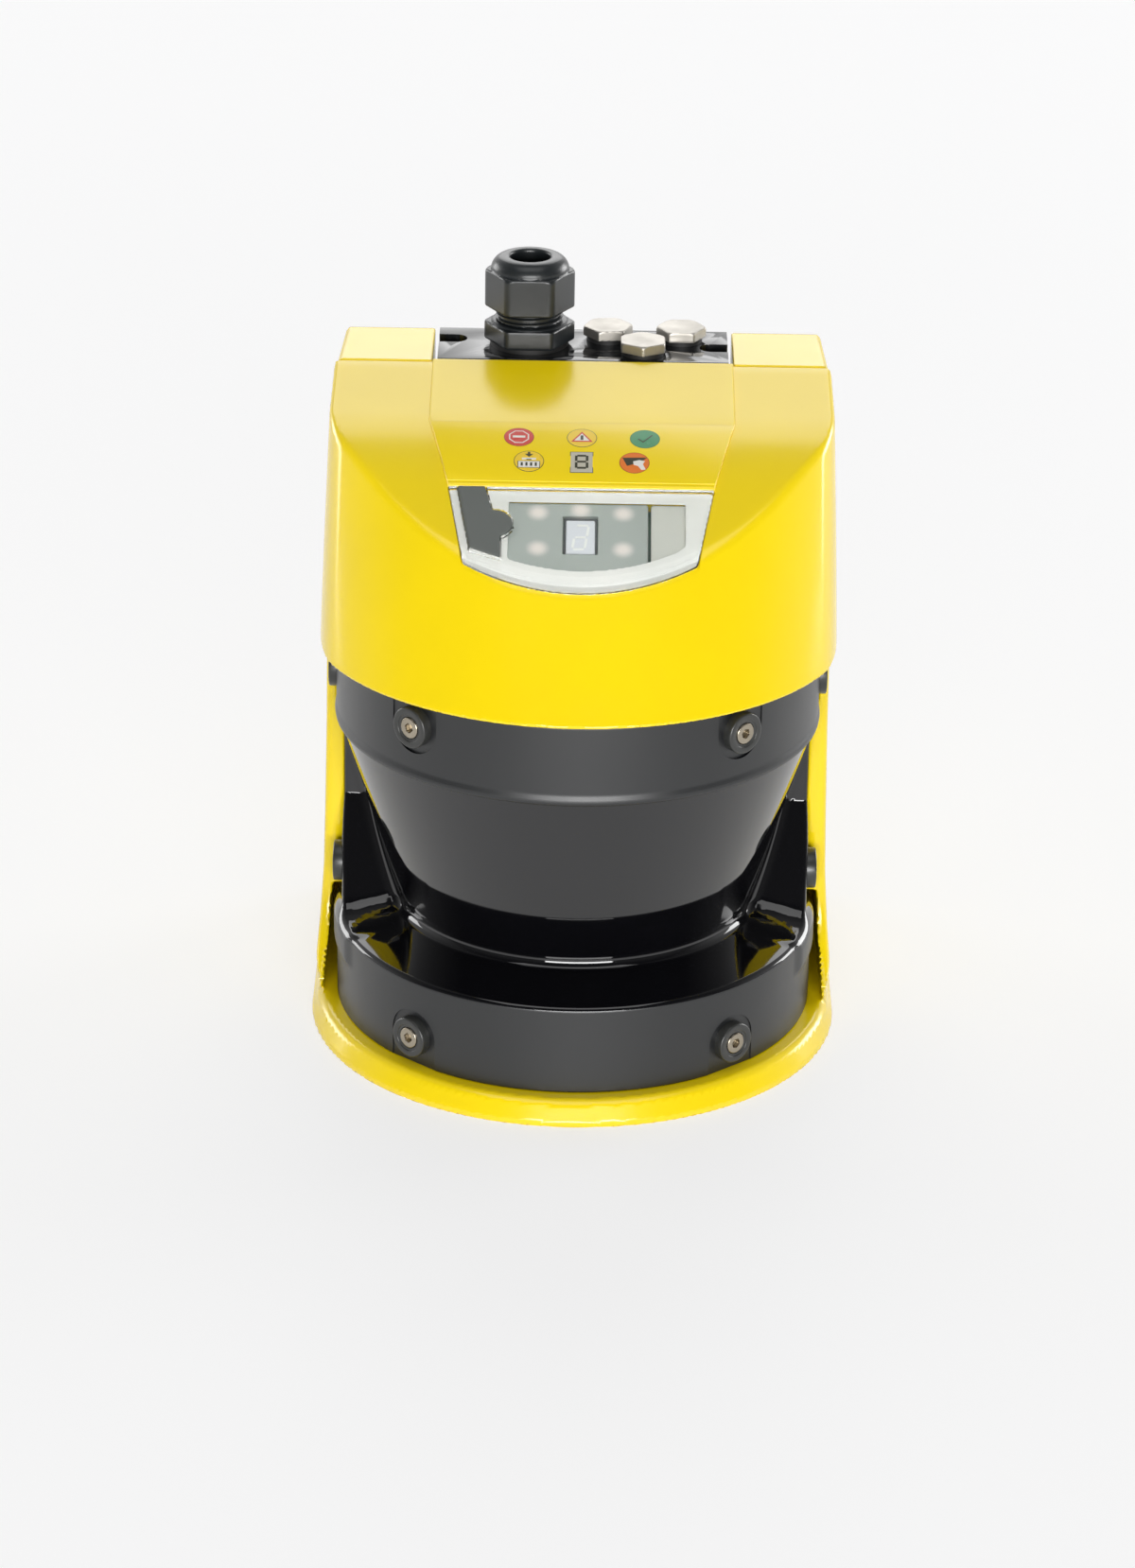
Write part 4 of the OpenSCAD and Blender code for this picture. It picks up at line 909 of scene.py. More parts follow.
def build_window():
    """The clear window, and the tray and the panels below it."""
    s = sizes("window")
    rise = sizes("hood").panel_rise / MM

    def window(u, v, w):
        shape = both(polygon_distance(window_outline(s.gap / MM), u, v), slab(w, -1.9, rise), 0.45)
        shape = both(shape, prow_limit(u, v, w, 0.0), 0.7)
        return without(shape, flap_outline_distance(u, v, 0.3), 0.25)
    sloped_piece("display_window_clear", window, (-39, -41, -3), (39, 1, 1.5), (0.38, 0.38, 0.5),
                 "clear window", "window_clear", "display_window")

    def tray(u, v, w):
        shape = both(polygon_distance(window_outline(s.gap / MM + 0.2), u, v), slab(w, -2.3, -1.95), 0.1)
        shape = np.maximum(shape, prow_limit(u, v, w, 0.9))
        opening = both(well_distance(u, v, -0.3), prow_limit(u, v, w, FRONT_LIP + 0.4), 0.8)
        socket = np.hypot(u - SOCKET_HOLE[0], v - SOCKET_HOLE[1]) - SOCKET_HOLE[2]
        return np.maximum(shape, -np.minimum(opening, socket))
    sloped_piece("display_tray", tray, (-39, -41, -3), (39, 1, -1.5), (0.5, 0.5, 0.2),
                 "frosted tray", "window_clear")

    def main_panel(u, v, w):
        shape = both(well_distance(u, v), u - (PANEL_SPLIT - 0.3), 0.7)
        shape = both(shape, prow_limit(u, v, w, FRONT_LIP + 0.5), 0.8)
        shape = both(shape, slab(w, -4.0, -2.5), 0.5)
        return without(shape, np.maximum(np.abs(u) - 4.9, np.abs(v + 17) - 7.6), 0.2)
    sloped_piece("display_panel_main", main_panel, (-22, -38, -4.6), (21, -3, -2), 0.45,
                 "frosted panel", "diffuser_grey", "display_diffuser")

    def side_panel(u, v, w):
        shape = both(well_distance(u, v), PANEL_SPLIT + 0.5 - u, 0.7)
        shape = both(shape, prow_limit(u, v, w, FRONT_LIP + 0.5), 0.8)
        return both(shape, slab(w, -4.0, -2.7), 0.4)
    # its finish is a lighter copy of the main panel's: painted light
    sloped_piece("display_panel_side", side_panel, (18, -38, -4.6), (31, -3, -2), 0.45,
                 "side panel with painted light", "diffuser_grey")


def build_flap():
    """The flap with the barrel that it turns about."""
    thick = sizes("window").flap_thickness / MM
    rise = sizes("hood").panel_rise / MM

    def flap(u, v, w):
        leaf = both(flap_outline_distance(u, v), slab(w, rise - thick, rise), 0.3)
        line, ends = hinge_distance(u, v, w)
        barrel = both(line - thick / 2, ends, 0.15)
        shape = either(leaf, barrel, 0.2)
        return without(shape, line - 0.75)
    sloped_piece("flap", flap, (-37, -30, -2.4), (-18, 0.6, 1.4), 0.35, "grey flap", "flap_grey",
                 "service_flap", body="flap")


# the signs lie this far above the slope, and each ink is this thick
SIGN_LEVEL, INK_THICKNESS = 0.95, 0.03


def on_foil(outline, height, name, ink):
    """A thin flat shape laid on the foil, following the bend of the slope."""
    slope = Slope()
    n = len(outline)
    x0, y0 = (float(c) for c in np.mean(outline, axis=0))
    top = height + INK_THICKNESS
    points = [(x, y, float(slope.height(y, level))) for level in (height, top) for x, y in outline]
    points.append((x0, y0, float(slope.height(y0, top))))
    faces = [[n + i, n + (i + 1) % n, 2 * n] for i in range(n)]
    faces += [[i, (i + 1) % n, n + (i + 1) % n, n + i] for i in range(n)]
    piece = mesh_piece(name, points, faces, ink, smooth=False)
    belong(piece, "housing", "foil_yellow")


def foil_signs():
    """The generic signs, one for each lamp below: name, ink, height above the foil and outline."""
    r, upper, lower = 4.3, 7.5, -3.1

    def disc(x, y, edge=0.0):
        return round_outline(x, y, r - edge, 40)

    def octagon(x, y, radius):
        return round_outline(x, y, radius, 8, math.pi / 8)

    def box(half, low, high):
        return [(-half, low), (half, low), (half, high), (-half, high)]

    def raised(points):
        return [(x, lower + y) for x, y in points]

    # red disc with a white ring and bar
    signs = [("red_edge", "dark red", 0.0, disc(-18, upper)),
             ("red", "red", 0.03, disc(-18, upper, 0.15)),
             ("red_ring", "white", 0.06, octagon(-18, upper, 3.1)),
             ("red_inner", "red", 0.09, octagon(-18, upper, 2.7)),
             ("red_bar", "white", 0.12, bar_outline(-19.8, upper, -16.2, upper, 0.9))]
    # yellow disc with a red triangle
    signs += [("caution_edge", "dark", 0.0, disc(0, upper)),
              ("caution", "yellow", 0.03, disc(0, upper, 0.18)),
              ("caution_rim", "red", 0.06, [(-3.1, upper - 1.9), (3.1, upper - 1.9), (0, upper + 2.9)]),
              ("caution_field", "white", 0.09, [(-2.2, upper - 1.4), (2.2, upper - 1.4), (0, upper + 2.0)]),
              ("caution_mark", "dark", 0.12, bar_outline(0, upper - 1.1, 0, upper + 1.0, 0.8))]
    # green disc with a tick
    signs += [("green_edge", "dark green", 0.0, disc(18, upper)),
              ("green", "green", 0.03, disc(18, upper, 0.15)),
              ("green_tick_a", "dark", 0.06, bar_outline(16.1, upper - 0.1, 17.5, upper - 1.6, 0.4)),
              ("green_tick_b", "dark", 0.06, bar_outline(17.4, upper - 1.6, 20.1, upper + 1.7, 0.4))]
    # yellow disc with an arrow over a box of keys
    signs += [("reset_edge", "dark", 0.0, disc(-15, lower)),
              ("reset", "yellow", 0.03, disc(-15, lower, 0.18)),
              ("reset_stem", "dark", 0.06, bar_outline(-15, lower + 3.8, -15, lower + 2.6, 0.7)),
              ("reset_arrow", "dark", 0.06, raised([(-16.2, 2.9), (-15, 1.7), (-13.8, 2.9)])),
              ("reset_lid", "white", 0.06, bar_outline(-17, lower + 0.9, -13, lower + 0.9, 0.8)),
              ("reset_lid_bar", "dark", 0.09, bar_outline(-15.7, lower + 0.5, -14.3, lower + 0.5, 0.35)),
              ("reset_box_edge", "dark", 0.06, bar_outline(-18.2, lower - 1.4, -11.8, lower - 1.4, 2.7)),
              ("reset_box", "white", 0.09, bar_outline(-18.0, lower - 1.4, -12.0, lower - 1.4, 2.4))]
    for i in range(4):
        x = -17.0 + 1.33 * i
        signs.append(("reset_key_%d" % (i + 1), "dark", 0.12,
                      bar_outline(x, lower - 2.1, x, lower - 0.7, 0.6)))
    # pale box with the digit that the display shows at start
    signs += [("digit_edge", "dark", 0.0, box(3.3, lower - 4.4, lower + 4.2)),
              ("digit_box", "pale", 0.03, box(3.1, lower - 4.2, lower + 4.0))]
    w, h = 1.25, 2.5
    bars = [(-w, y, w, y) for y in (h, 0, -h)]
    bars += [(side * (w + 0.3), low, side * (w + 0.3), high) for low, high in ((0.3, h), (-h, -0.3))
             for side in (-1, 1)]
    signs += [("digit_%d" % (i + 1), "dark", 0.06, bar_outline(x0, lower + y0, x1, lower + y1, 0.75))
              for i, (x0, y0, x1, y1) in enumerate(bars)]
    # orange disc with a dark wedge and a white cloth shape
    wedge = [(11.6, 1.9), (18.6, 2.1), (16.8, 0.2), (12.9, -1.4)]
    cloth = [(14.6, 0.4), (16.4, 1.0), (18.0, 0.6), (17.4, -0.7), (18.2, -2.8), (17.0, -3.0), (16.0, -1.4),
             (14.8, -1.0)]
    signs += [("clean_edge", "dark red", 0.0, disc(15, lower)),
              ("clean", "orange", 0.03, disc(15, lower, 0.15)),
              ("clean_wedge", "dark", 0.06, raised(wedge)),
              ("clean_cloth", "white", 0.09, raised(cloth))]
    return signs


def build_legend():
    """The foil with its signs."""
    dress("legend_foil", "yellow foil", 0.15)
    for name, ink, up, outline in foil_signs():
        on_foil(outline, SIGN_LEVEL + up, "sign_" + name, "ink " + ink)


# ------------------------------------------------------------------ plug, gland and blind plugs
def build_plug():
    """The black plug plate with its end slots."""
    dress("plug_housing", "black anodised plate", 0.35)
    dress("plug_gasket", "black rubber")
    dress("plug_screws", "black plastic", 0.15)


def hexagon_distance(u, v, af, turn):
    """Distance outside a hexagon of that width across its flats."""
    turns = [turn + k * math.pi / 3 for k in range(3)]
    return np.maximum.reduce([np.abs(u * math.cos(a) + v * math.sin(a)) for a in turns]) - af / 2


def upright(x0, y0, z0):
    """A function that sets pieces in a place without turning them."""
    return lambda x, y, z: (x + x0, y + y0, z + z0)


GLAND_FLATS, GLAND_TURN, GLAND_BASE = 23.6, math.pi / 6, 1.4
THREAD_ROOT, THREAD_PITCH, THREAD_TURNS, THREAD_SIDES = 9.0, 1.5, 3.2, 72
THREAD_PROFILE = [(9.0, -0.75), (9.0, -0.45), (9.95, -0.12), (9.95, 0.12), (9.0, 0.45), (9.0, 0.75)]


def gland_nut_field(x, y, z):
    """The domed nut, from its lower face upwards."""
    r, h = np.hypot(x, y), NUT_HIGH[2] - NUT_LOW[2]
    shape = both(hexagon_distance(x, y, GLAND_FLATS, GLAND_TURN), r - 13.25, 0.3)
    shape = both(shape, r + (z - (h - 4.6)) * 0.9 - 13.0, 0.3)
    shape = both(shape, slab(z, 0, h - 4.2), 0.4)
    cap = np.hypot(np.maximum(r - 7.4, 0), np.maximum(z - (h - 4.2), 0)) - 4.2
    dome = both(both(r - GLAND_FLATS / 2 + 0.3, cap), slab(z, 4, h), 0.3)
    shape = without(either(shape, dome, 0.3), r - 5.95, 0.9)
    return without(shape, both(r - 10.1, z - (h - 6.6)))


def gland_base_field(x, y, z):
    """The gland's fixed hexagon with its collar and its threaded stem, from the plug plate upwards."""
    r = np.hypot(x, y)
    shape = both(hexagon_distance(x, y, GLAND_FLATS, GLAND_TURN), r - 13.35, 0.3)
    shape = both(shape, slab(z, GLAND_BASE, GLAND_BASE + 5.5), 0.35)
    collar = both(r - 11.2, slab(z, GLAND_BASE + 5, GLAND_BASE + 6.1), 0.3)
    stem = both(r - THREAD_ROOT, slab(z, -8.9, GLAND_BASE + 20))
    return without(np.minimum(either(shape, collar, 0.3), stem), r - 6.3)


def build_gland():
    """The cable gland: body, threads in sight and the domed nut."""
    gx, gy = (NUT_LOW[0] + NUT_HIGH[0]) / 2, (NUT_LOW[1] + NUT_HIGH[1]) / 2
    piece = placed_skin("gland_nut_moulded", gland_nut_field, (-14.4, -14.4, -1), (14.4, 14.4, 17), 0.45,
                        "gland plastic", upright(gx, gy, NUT_LOW[2]), 50)
    belong(piece, "clamp_nut", "gland_grey", "gland_nut")
    piece = placed_skin("gland_base", gland_base_field, (-14.4, -14.4, -10), (14.4, 14.4, 22.5), 0.5,
                        "gland plastic", upright(gx, gy, PLUG_HIGH[2]), 50)
    belong(piece, "housing", "gland_grey", "gland_body")

    # the turns of thread in sight, as one winding band
    points, faces = [], []
    steps, m = int(THREAD_SIDES * THREAD_TURNS), len(THREAD_PROFILE)
    for i in range(steps + 1):
        a = 2 * math.pi * i / THREAD_SIDES
        z = PLUG_HIGH[2] + GLAND_BASE + 5.9 + THREAD_PITCH * i / THREAD_SIDES
        points += [(gx + r * math.cos(a), gy + r * math.sin(a), z + h) for r, h in THREAD_PROFILE]
    for i in range(steps):
        faces += [[i * m + k, (i + 1) * m + k, (i + 1) * m + k + 1, i * m + k + 1] for k in range(m - 1)]
    faces += [list(range(m))[::-1], [steps * m + k for k in range(m)]]
    faces += [[i * m + m - 1, (i + 1) * m + m - 1, (i + 1) * m, i * m] for i in range(steps)]
    piece = mesh_piece("gland_thread", points, faces, "gland plastic")
    sharpen(piece, 40)
    belong(piece, "housing", "gland_grey")
    dress("gland_o_ring", "black rubber")
    dress("gland_seal", "black rubber")


# place across and back, and turn in degrees
BLIND_PLUGS = ((7.3, 74.3, 8), (29.0, 73.8, 0), (17.6, 61.4, 30))


def build_blind_plugs():
    """Nickel-plated hexagon plugs that close the unused entries."""
    for i, (x0, y0, turn) in enumerate(BLIND_PLUGS):
        def plug(x, y, z):
            r = np.hypot(x, y)
            shape = both(hexagon_distance(x, y, 13.0, math.radians(turn) + math.pi / 6), r - 7.42, 0.15)
            shape = both(shape, slab(z, 1.3, 4.3), 0.2)
            shape = both(shape, (r - 6.9 + (z - 4.3) * 1.2) * 0.64, 0.25)
            return np.minimum(shape, both(r - 5.0, slab(z, -6, 1.5)))
        piece = placed_skin("blind_plug_%d" % (i + 1), plug, (-8, -8, -1.4), (8, 8, 5), 0.3,
                            "nickel plate", upright(x0, y0, PLUG_HIGH[2]), 28)
        belong(piece, "housing", "nickel", *first_only(i, "blind_plugs"))
    dress("blind_plug_rings", "black rubber")


# ------------------------------------------------------------------ the inside
INSIDE = {
    "black rubber": (("cover_seal", 0), ("hood_gasket", 0)),
    "bright steel": (("hood_screws", 0.1), ("display_screws", 0.1), ("flap_pin", 0), ("motor_screws", 0.1),
                     ("upper_bearing", 0.15), ("lower_bearing", 0.15), ("rotor_shaft", 0.1),
                     ("encoder_disc", 0), ("board_spacers", 0.1), ("board_screws", 0.1)),
    "black plastic": (("service_socket", 0.15), ("plug_connector", 0.2), ("hood_connector", 0.2),
                      ("encoder_sensor", 0.15), ("mirror_carrier", 0.3), ("lens_tube", 0.3)),
    "circuit board": (("display_board", 0), ("receiver_board", 0), ("window_monitor_board", 0),
                      ("power_board", 0), ("processor_board", 0)),
    "lamp body": (("status_leds", 0.1), ("window_monitor_leds", 0.1)),
    "motor can": (("motor_housing", 0.3),),
    "copper winding": (("motor_stator", 0.3),),
    "ground magnet": (("rotor_magnet", 0.2),),
    "mirror coat": (("scan_mirror", 0.1),),
    "coated lens": (("receiver_lens", 0.1),),
    "brass barrel": (("laser_module", 0.2),),
    "grey plastic": (("reference_target", 0.2),),
}


def build_inside():
    """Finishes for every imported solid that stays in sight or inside."""
    for name, nodes in INSIDE.items():
        for node, width in nodes:
            dress(node, name, width)


# ------------------------------------------------------------------ shader groups
def new_group(name, inputs, outputs):
    """A shader group fed with a place and with these inputs, a number or a vector each."""
    group = bpy.data.node_groups.new(name, "ShaderNodeTree")
    for title, value in (("Vector", (0, 0, 0)), *inputs):
        kind = "NodeSocketFloat" if isinstance(value, float) else "NodeSocketVector"
        group.interface.new_socket(name=title, in_out="INPUT", socket_type=kind).default_value = value
    for title in outputs:
        group.interface.new_socket(name=title, in_out="OUTPUT", socket_type="NodeSocketFloat")
    return group, group.nodes.new("NodeGroupInput"), group.nodes.new("NodeGroupOutput")


def add(tree, kind, **values):
    """A node with some of its properties set."""
    node = tree.nodes.new(kind)
    for key, value in values.items():
        setattr(node, key, value)
    return node


def noise(tree, vector, scale, detail=3.0, rough=0.5):
    """Noise over the object's own coordinates."""
    node = add(tree, "ShaderNodeTexNoise")
    node.inputs["Detail"].default_value = detail
    node.inputs["Roughness"].default_value = rough
    if isinstance(scale, (int, float)):
        node.inputs["Scale"].default_value = scale
    else:
        tree.links.new(scale, node.inputs["Scale"])
    tree.links.new(vector, node.inputs["Vector"])
    return node.outputs["Fac"]


def spread(tree, value, low, high, to_low=0.0, to_high=1.0):
    """Maps a range of a value onto another range."""
    node = add(tree, "ShaderNodeMapRange")
    node.inputs["From Min"].default_value = low
    node.inputs["From Max"].default_value = high
    node.inputs["To Min"].default_value = to_low
    node.inputs["To Max"].default_value = to_high
    tree.links.new(value, node.inputs["Value"])
    return node.outputs["Result"]


def math_node(tree, what, a, b):
    """One sum of two values, either of which may be a number."""
    node = add(tree, "ShaderNodeMath", operation=what)
    for k, value in enumerate((a, b)):
        if isinstance(value, (int, float)):
            node.inputs[k].default_value = value
        else:
            tree.links.new(value, node.inputs[k])
    return node.outputs[0]


def build_shader_groups():
    """Effects that several finishes share."""
    # rounded waves of a sprayed or moulded skin
    group, start, end = new_group("Skin Texture", [("Scale", 900.0), ("Fine Share", 0.3)],
                                  ["Height", "Tone"])
    wide = noise(group, start.outputs["Vector"], start.outputs["Scale"], 1.5)
    finer = math_node(group, "MULTIPLY", start.outputs["Scale"], 3.3)
    fine = noise(group, start.outputs["Vector"], finer, 2.0)
    mixed = math_node(group, "ADD", wide, math_node(group, "MULTIPLY", fine, start.outputs["Fine Share"]))
    group.links.new(mixed, end.inputs["Height"])
    tone = noise(group, start.outputs["Vector"], 35.0, 3.0)
    group.links.new(spread(group, tone, 0.3, 0.7), end.inputs["Tone"])

    # faint smears and dust from handling
    group, start, end = new_group("Handling Marks", [("Amount", 0.5)], ["Mask", "Dust"])
    stretch = add(group, "ShaderNodeMapping")
    stretch.inputs["Scale"].default_value = (22, 22, 9)
    stretch.inputs["Rotation"].default_value = (0.3, 0.5, 0.7)
    group.links.new(start.outputs["Vector"], stretch.inputs["Vector"])
    smear = spread(group, noise(group, stretch.outputs["Vector"], 1.7, 4.0, 0.6), 0.48, 0.72)
    group.links.new(math_node(group, "MULTIPLY", smear, start.outputs["Amount"]), end.inputs["Mask"])
    speck = spread(group, noise(group, start.outputs["Vector"], 2600.0, 1.0), 0.72, 0.78)
    group.links.new(math_node(group, "MULTIPLY", speck, start.outputs["Amount"]), end.inputs["Dust"])

    # soft round glow of a lamp behind a frosted panel
    group, start, end = new_group("Lamp Glow", [("Place", (0, 0, 0)), ("Radius", 0.0025)], ["Mask"])
    away = add(group, "ShaderNodeVectorMath", operation="DISTANCE")
    group.links.new(start.outputs["Vector"], away.inputs[0])
    group.links.new(start.outputs["Place"], away.inputs[1])
    share = math_node(group, "DIVIDE", away.outputs["Value"], start.outputs["Radius"])
    soft = add(group, "ShaderNodeMapRange", interpolation_type="SMOOTHSTEP")
    soft.inputs["From Min"].default_value = 1.4
    soft.inputs["From Max"].default_value = 0.2
    group.links.new(share, soft.inputs["Value"])
    group.links.new(soft.outputs["Result"], end.inputs["Mask"])

    # fine scratches in one direction, for turned and plated metal
    group, start, end = new_group("Fine Scratches", [("Scale", 500.0)], ["Height", "Wear"])
    stretch = add(group, "ShaderNodeMapping")
    stretch.inputs["Scale"].default_value = (1.0, 0.08, 1.0)
    stretch.inputs["Rotation"].default_value = (0, 0, 0.6)
    group.links.new(start.outputs["Vector"], stretch.inputs["Vector"])
    lines = noise(group, stretch.outputs["Vector"], start.outputs["Scale"], 2.0)
    group.links.new(lines, end.inputs["Height"])
    wear = noise(group, start.outputs["Vector"], 130.0, 4.0)
    group.links.new(spread(group, wear, 0.35, 0.7), end.inputs["Wear"])


def use_group(tree, name, **values):
    """A shader group in a material, fed with the object's coordinates."""
    node = add(tree, "ShaderNodeGroup")
    node.node_tree = bpy.data.node_groups[name]
    for key, value in values.items():
        node.inputs[key.replace("_", " ")].default_value = value
    where = tree.nodes.get("Where") or add(tree, "ShaderNodeTexCoord", name="Where")
    tree.links.new(where.outputs["Object"], node.inputs["Vector"])
    return node


def two_tone(tree, mask, first, second):
    """Colour that goes from the first to the second with a mask."""
    mix = add(tree, "ShaderNodeMix", data_type="RGBA")
    mix.inputs["A"].default_value = (*first, 1)
    mix.inputs["B"].default_value = (*second, 1)
    tree.links.new(mask, mix.inputs["Factor"])
    return mix.outputs["Result"]


def new_material(name):
    """A new material with its node tree and its shader."""
    material = bpy.data.materials.new(name)
    material.use_nodes = True
    tree = material.node_tree
    return material, tree, tree.nodes["Principled BSDF"]


def add_bump(tree, shader, height, strength, distance):
    """Lets a height stand out of the surface, by at most that many millimetres."""
    bumps = add(tree, "ShaderNodeBump")
    bumps.inputs["Strength"].default_value = strength
    bumps.inputs["Distance"].default_value = distance * MM
    tree.links.new(height, bumps.inputs["Height"])
    tree.links.new(bumps.outputs["Normal"], shader.inputs["Normal"])


def finish_material(name, base, rough=(0.3, 0.4), tone=0.94, skin_scale=900.0, bump=0.1, fine=0.3,
                    bump_mm=0.05, marks=0.4, **sockets):
    """A finish with a skin texture, a slight change of tone and handling marks in its gloss."""
    material, tree, shader = new_material(name)
    texture = use_group(tree, "Skin Texture", Scale=skin_scale, Fine_Share=fine)
    hands = use_group(tree, "Handling Marks", Amount=marks)
    darker = tuple(c * tone for c in base)
    tree.links.new(two_tone(tree, texture.outputs["Tone"], base, darker), shader.inputs["Base Color"])
    worn = math_node(tree, "ADD", math_node(tree, "MULTIPLY", texture.outputs["Tone"], 0.4),
                     math_node(tree, "MULTIPLY", hands.outputs["Mask"], 0.8))
    tree.links.new(spread(tree, worn, 0.0, 1.0, *rough), shader.inputs["Roughness"])
    if bump > 0:
        add_bump(tree, shader, texture.outputs["Height"], bump, bump_mm)
    for key, value in sockets.items():
        shader.inputs[key.replace("_", " ")].default_value = value
    return material


def metal_material(name, base, rough=(0.15, 0.3), scale=500.0, bump=0.05):
    """Turned or plated metal with fine scratches."""
    _, tree, shader = new_material(name)
    shader.inputs["Metallic"].default_value = 1.0
    lines = use_group(tree, "Fine Scratches", Scale=scale)
    darker = tuple(c * 0.86 for c in base)
    tree.links.new(two_tone(tree, lines.outputs["Wear"], base, darker), shader.inputs["Base Color"])
    tree.links.new(spread(tree, lines.outputs["Wear"], 0, 1, *rough), shader.inputs["Roughness"])
    add_bump(tree, shader, lines.outputs["Height"], bump, 0.02)


def build_materials():
    """All finishes of the scanner, by name."""
    c = sizes("finish")
    finish_material("yellow powder coat", tuple(c.yellow), (0.16, 0.26), 0.965, skin_scale=620,
                    bump=0.22, fine=0.25, bump_mm=0.06, marks=0.35, IOR=1.6)
    finish_material("yellow foil", tuple(c.yellow), (0.22, 0.32), 0.97, skin_scale=1500, bump=0.05,
                    marks=0.3)
    finish_material("gloss black moulding", tuple(c.black), (0.03, 0.09), 0.8, skin_scale=180,
                    bump=0.03, fine=0.1, bump_mm=0.05, marks=0.4, IOR=1.68)
    finish_material("matt black moulding", tuple(c.band), (0.36, 0.48), 0.9, skin_scale=1800,
                    bump=0.15, marks=0.4, IOR=1.65)
    finish_material("black washer", (0.028, 0.029, 0.027), (0.3, 0.45), 0.8, skin_scale=1500,
                    bump=0.1, marks=0.6, IOR=1.6)
    metal_material("bronzed screw", (0.42, 0.37, 0.29), (0.25, 0.4))
    metal_material("bright steel", (0.62, 0.62, 0.6), (0.2, 0.35))
    metal_material("nickel plate", tuple(c.nickel), (0.44, 0.55), 420, 0.08)
    metal_material("copper winding", (0.7, 0.32, 0.16), (0.3, 0.45), 900, 0.3)
    metal_material("brass barrel", (0.72, 0.55, 0.25), (0.2, 0.35))
    metal_material("motor can", (0.45, 0.45, 0.46), (0.3, 0.45))
    metal_material("ground magnet", (0.25, 0.25, 0.26), (0.25, 0.4))
    metal_material("mirror coat", (0.9, 0.9, 0.92), (0.01, 0.04), 100, 0.0)
    finish_material("gland plastic", tuple(c.gland), (0.26, 0.4), 0.85, skin_scale=1100, bump=0.12,
                    marks=0.5, IOR=1.53)
    finish_material("black rubber", (0.012, 0.012, 0.012), (0.5, 0.65), 0.9, skin_scale=1600,
                    bump=0.15, marks=0.5)
    finish_material("black anodised plate", (0.012, 0.013, 0.014), (0.06, 0.14), 0.8,
                    skin_scale=2200, bump=0.04, marks=0.5, IOR=1.55)
    finish_material("black plastic", (0.02, 0.02, 0.021), (0.35, 0.5), 0.85, bump=0.1)
    finish_material("grey flap", tuple(c.flap), (0.4, 0.5), 0.94, skin_scale=2000, bump=0.1, marks=0.3)
    finish_material("circuit board", (0.02, 0.14, 0.06), (0.3, 0.45), 0.8, bump=0.05)
    finish_material("lamp body", (0.85, 0.8, 0.68), (0.25, 0.35), 0.95, bump=0.05)
    finish_material("coated lens", (0.1, 0.1, 0.16), (0.02, 0.05), 0.8, bump=0.0, IOR=1.7)
    finish_material("grey plastic", (0.25, 0.25, 0.25), (0.45, 0.6), 0.92, bump=0.1)
    finish_material("frosted tray", tuple(c.frost), (0.35, 0.5), 0.95, skin_scale=1500, bump=0.2,
                    marks=0.3)
    finish_material("digit face", (0.78, 0.80, 0.84), (0.3, 0.4), 0.95, bump=0.03)
    finish_material("digit frame", (0.10, 0.11, 0.11), (0.4, 0.5), 0.7, bump=0.1)
    finish_material("digit lit", (0.92, 0.93, 0.90), (0.3, 0.4), 0.98, bump=0.02)
    inks = {"red": (0.62, 0.045, 0.03), "dark red": (0.25, 0.03, 0.02), "white": (0.82, 0.80, 0.74),
            "yellow": (0.90, 0.62, 0.03), "green": (0.07, 0.30, 0.14), "dark green": (0.04, 0.16, 0.08),
            "dark": (0.05, 0.05, 0.03), "pale": (0.55, 0.52, 0.42), "orange": (0.80, 0.20, 0.03)}
    for name, rgb in inks.items():
        finish_material("ink " + name, rgb, (0.24, 0.34), 0.96, skin_scale=1500, bump=0.03, marks=0.3)

    # clear window: plain transmission and gloss, so that it stays glass everywhere
    _, tree, shader = new_material("clear window")
    shader.inputs["Transmission Weight"].default_value = 1.0
    shader.inputs["IOR"].default_value = 1.42
    hands = use_group(tree, "Handling Marks", Amount=0.5)
    grain = use_group(tree, "Skin Texture", Scale=900.0, Fine_Share=0.3)
    tree.links.new(spread(tree, hands.outputs["Mask"], 0, 1, 0.10, 0.2), shader.inputs["Roughness"])
    tree.links.new(two_tone(tree, grain.outputs["Tone"], (0.97, 0.98, 0.975), (0.93, 0.95, 0.945)),
                   shader.inputs["Base Color"])

    # the side panel is the same diffuser as the main panel, given a lighter copy of its finish: painted
    # light
    finish_material("side panel with painted light", (0.67, 0.67, 0.60), (0.28, 0.4), 0.93, skin_scale=1300, bump=0.06)

    # display panel with the glow of five lamps
    panel = finish_material("frosted panel", tuple(c.panel), (0.28, 0.4), 0.93, skin_scale=1300, bump=0.06)
    tree = panel.node_tree
    shader = tree.nodes["Principled BSDF"]
    base = shader.inputs["Base Color"].links[0].from_socket
    slope = Slope()
    for u, v in ((-12, -8.3), (0, -7.2), (12, -8.3), (-12, -22.5), (12, -22.5)):
        glow = use_group(tree, "Lamp Glow", Radius=2.9 * MM)
        glow.inputs["Place"].default_value = [k * MM for k in slope.from_window(u, v, -2.5)]
        mix = add(tree, "ShaderNodeMix", data_type="RGBA")
        mix.inputs["B"].default_value = (0.86, 0.79, 0.73, 1)
        tree.links.new(glow.outputs["Mask"], mix.inputs["Factor"])
        tree.links.new(base, mix.inputs["A"])
        base = mix.outputs["Result"]
    tree.links.new(base, shader.inputs["Base Color"])


# ------------------------------------------------------------------ stage
def plane(name, corners, material):
    """A flat sheet of the stage."""
    mesh = bpy.data.meshes.new(name)
    mesh.from_pydata(corners, [], [list(range(len(corners)))])
    mesh.materials.append(material)
    piece = link(mesh, name)
    return piece


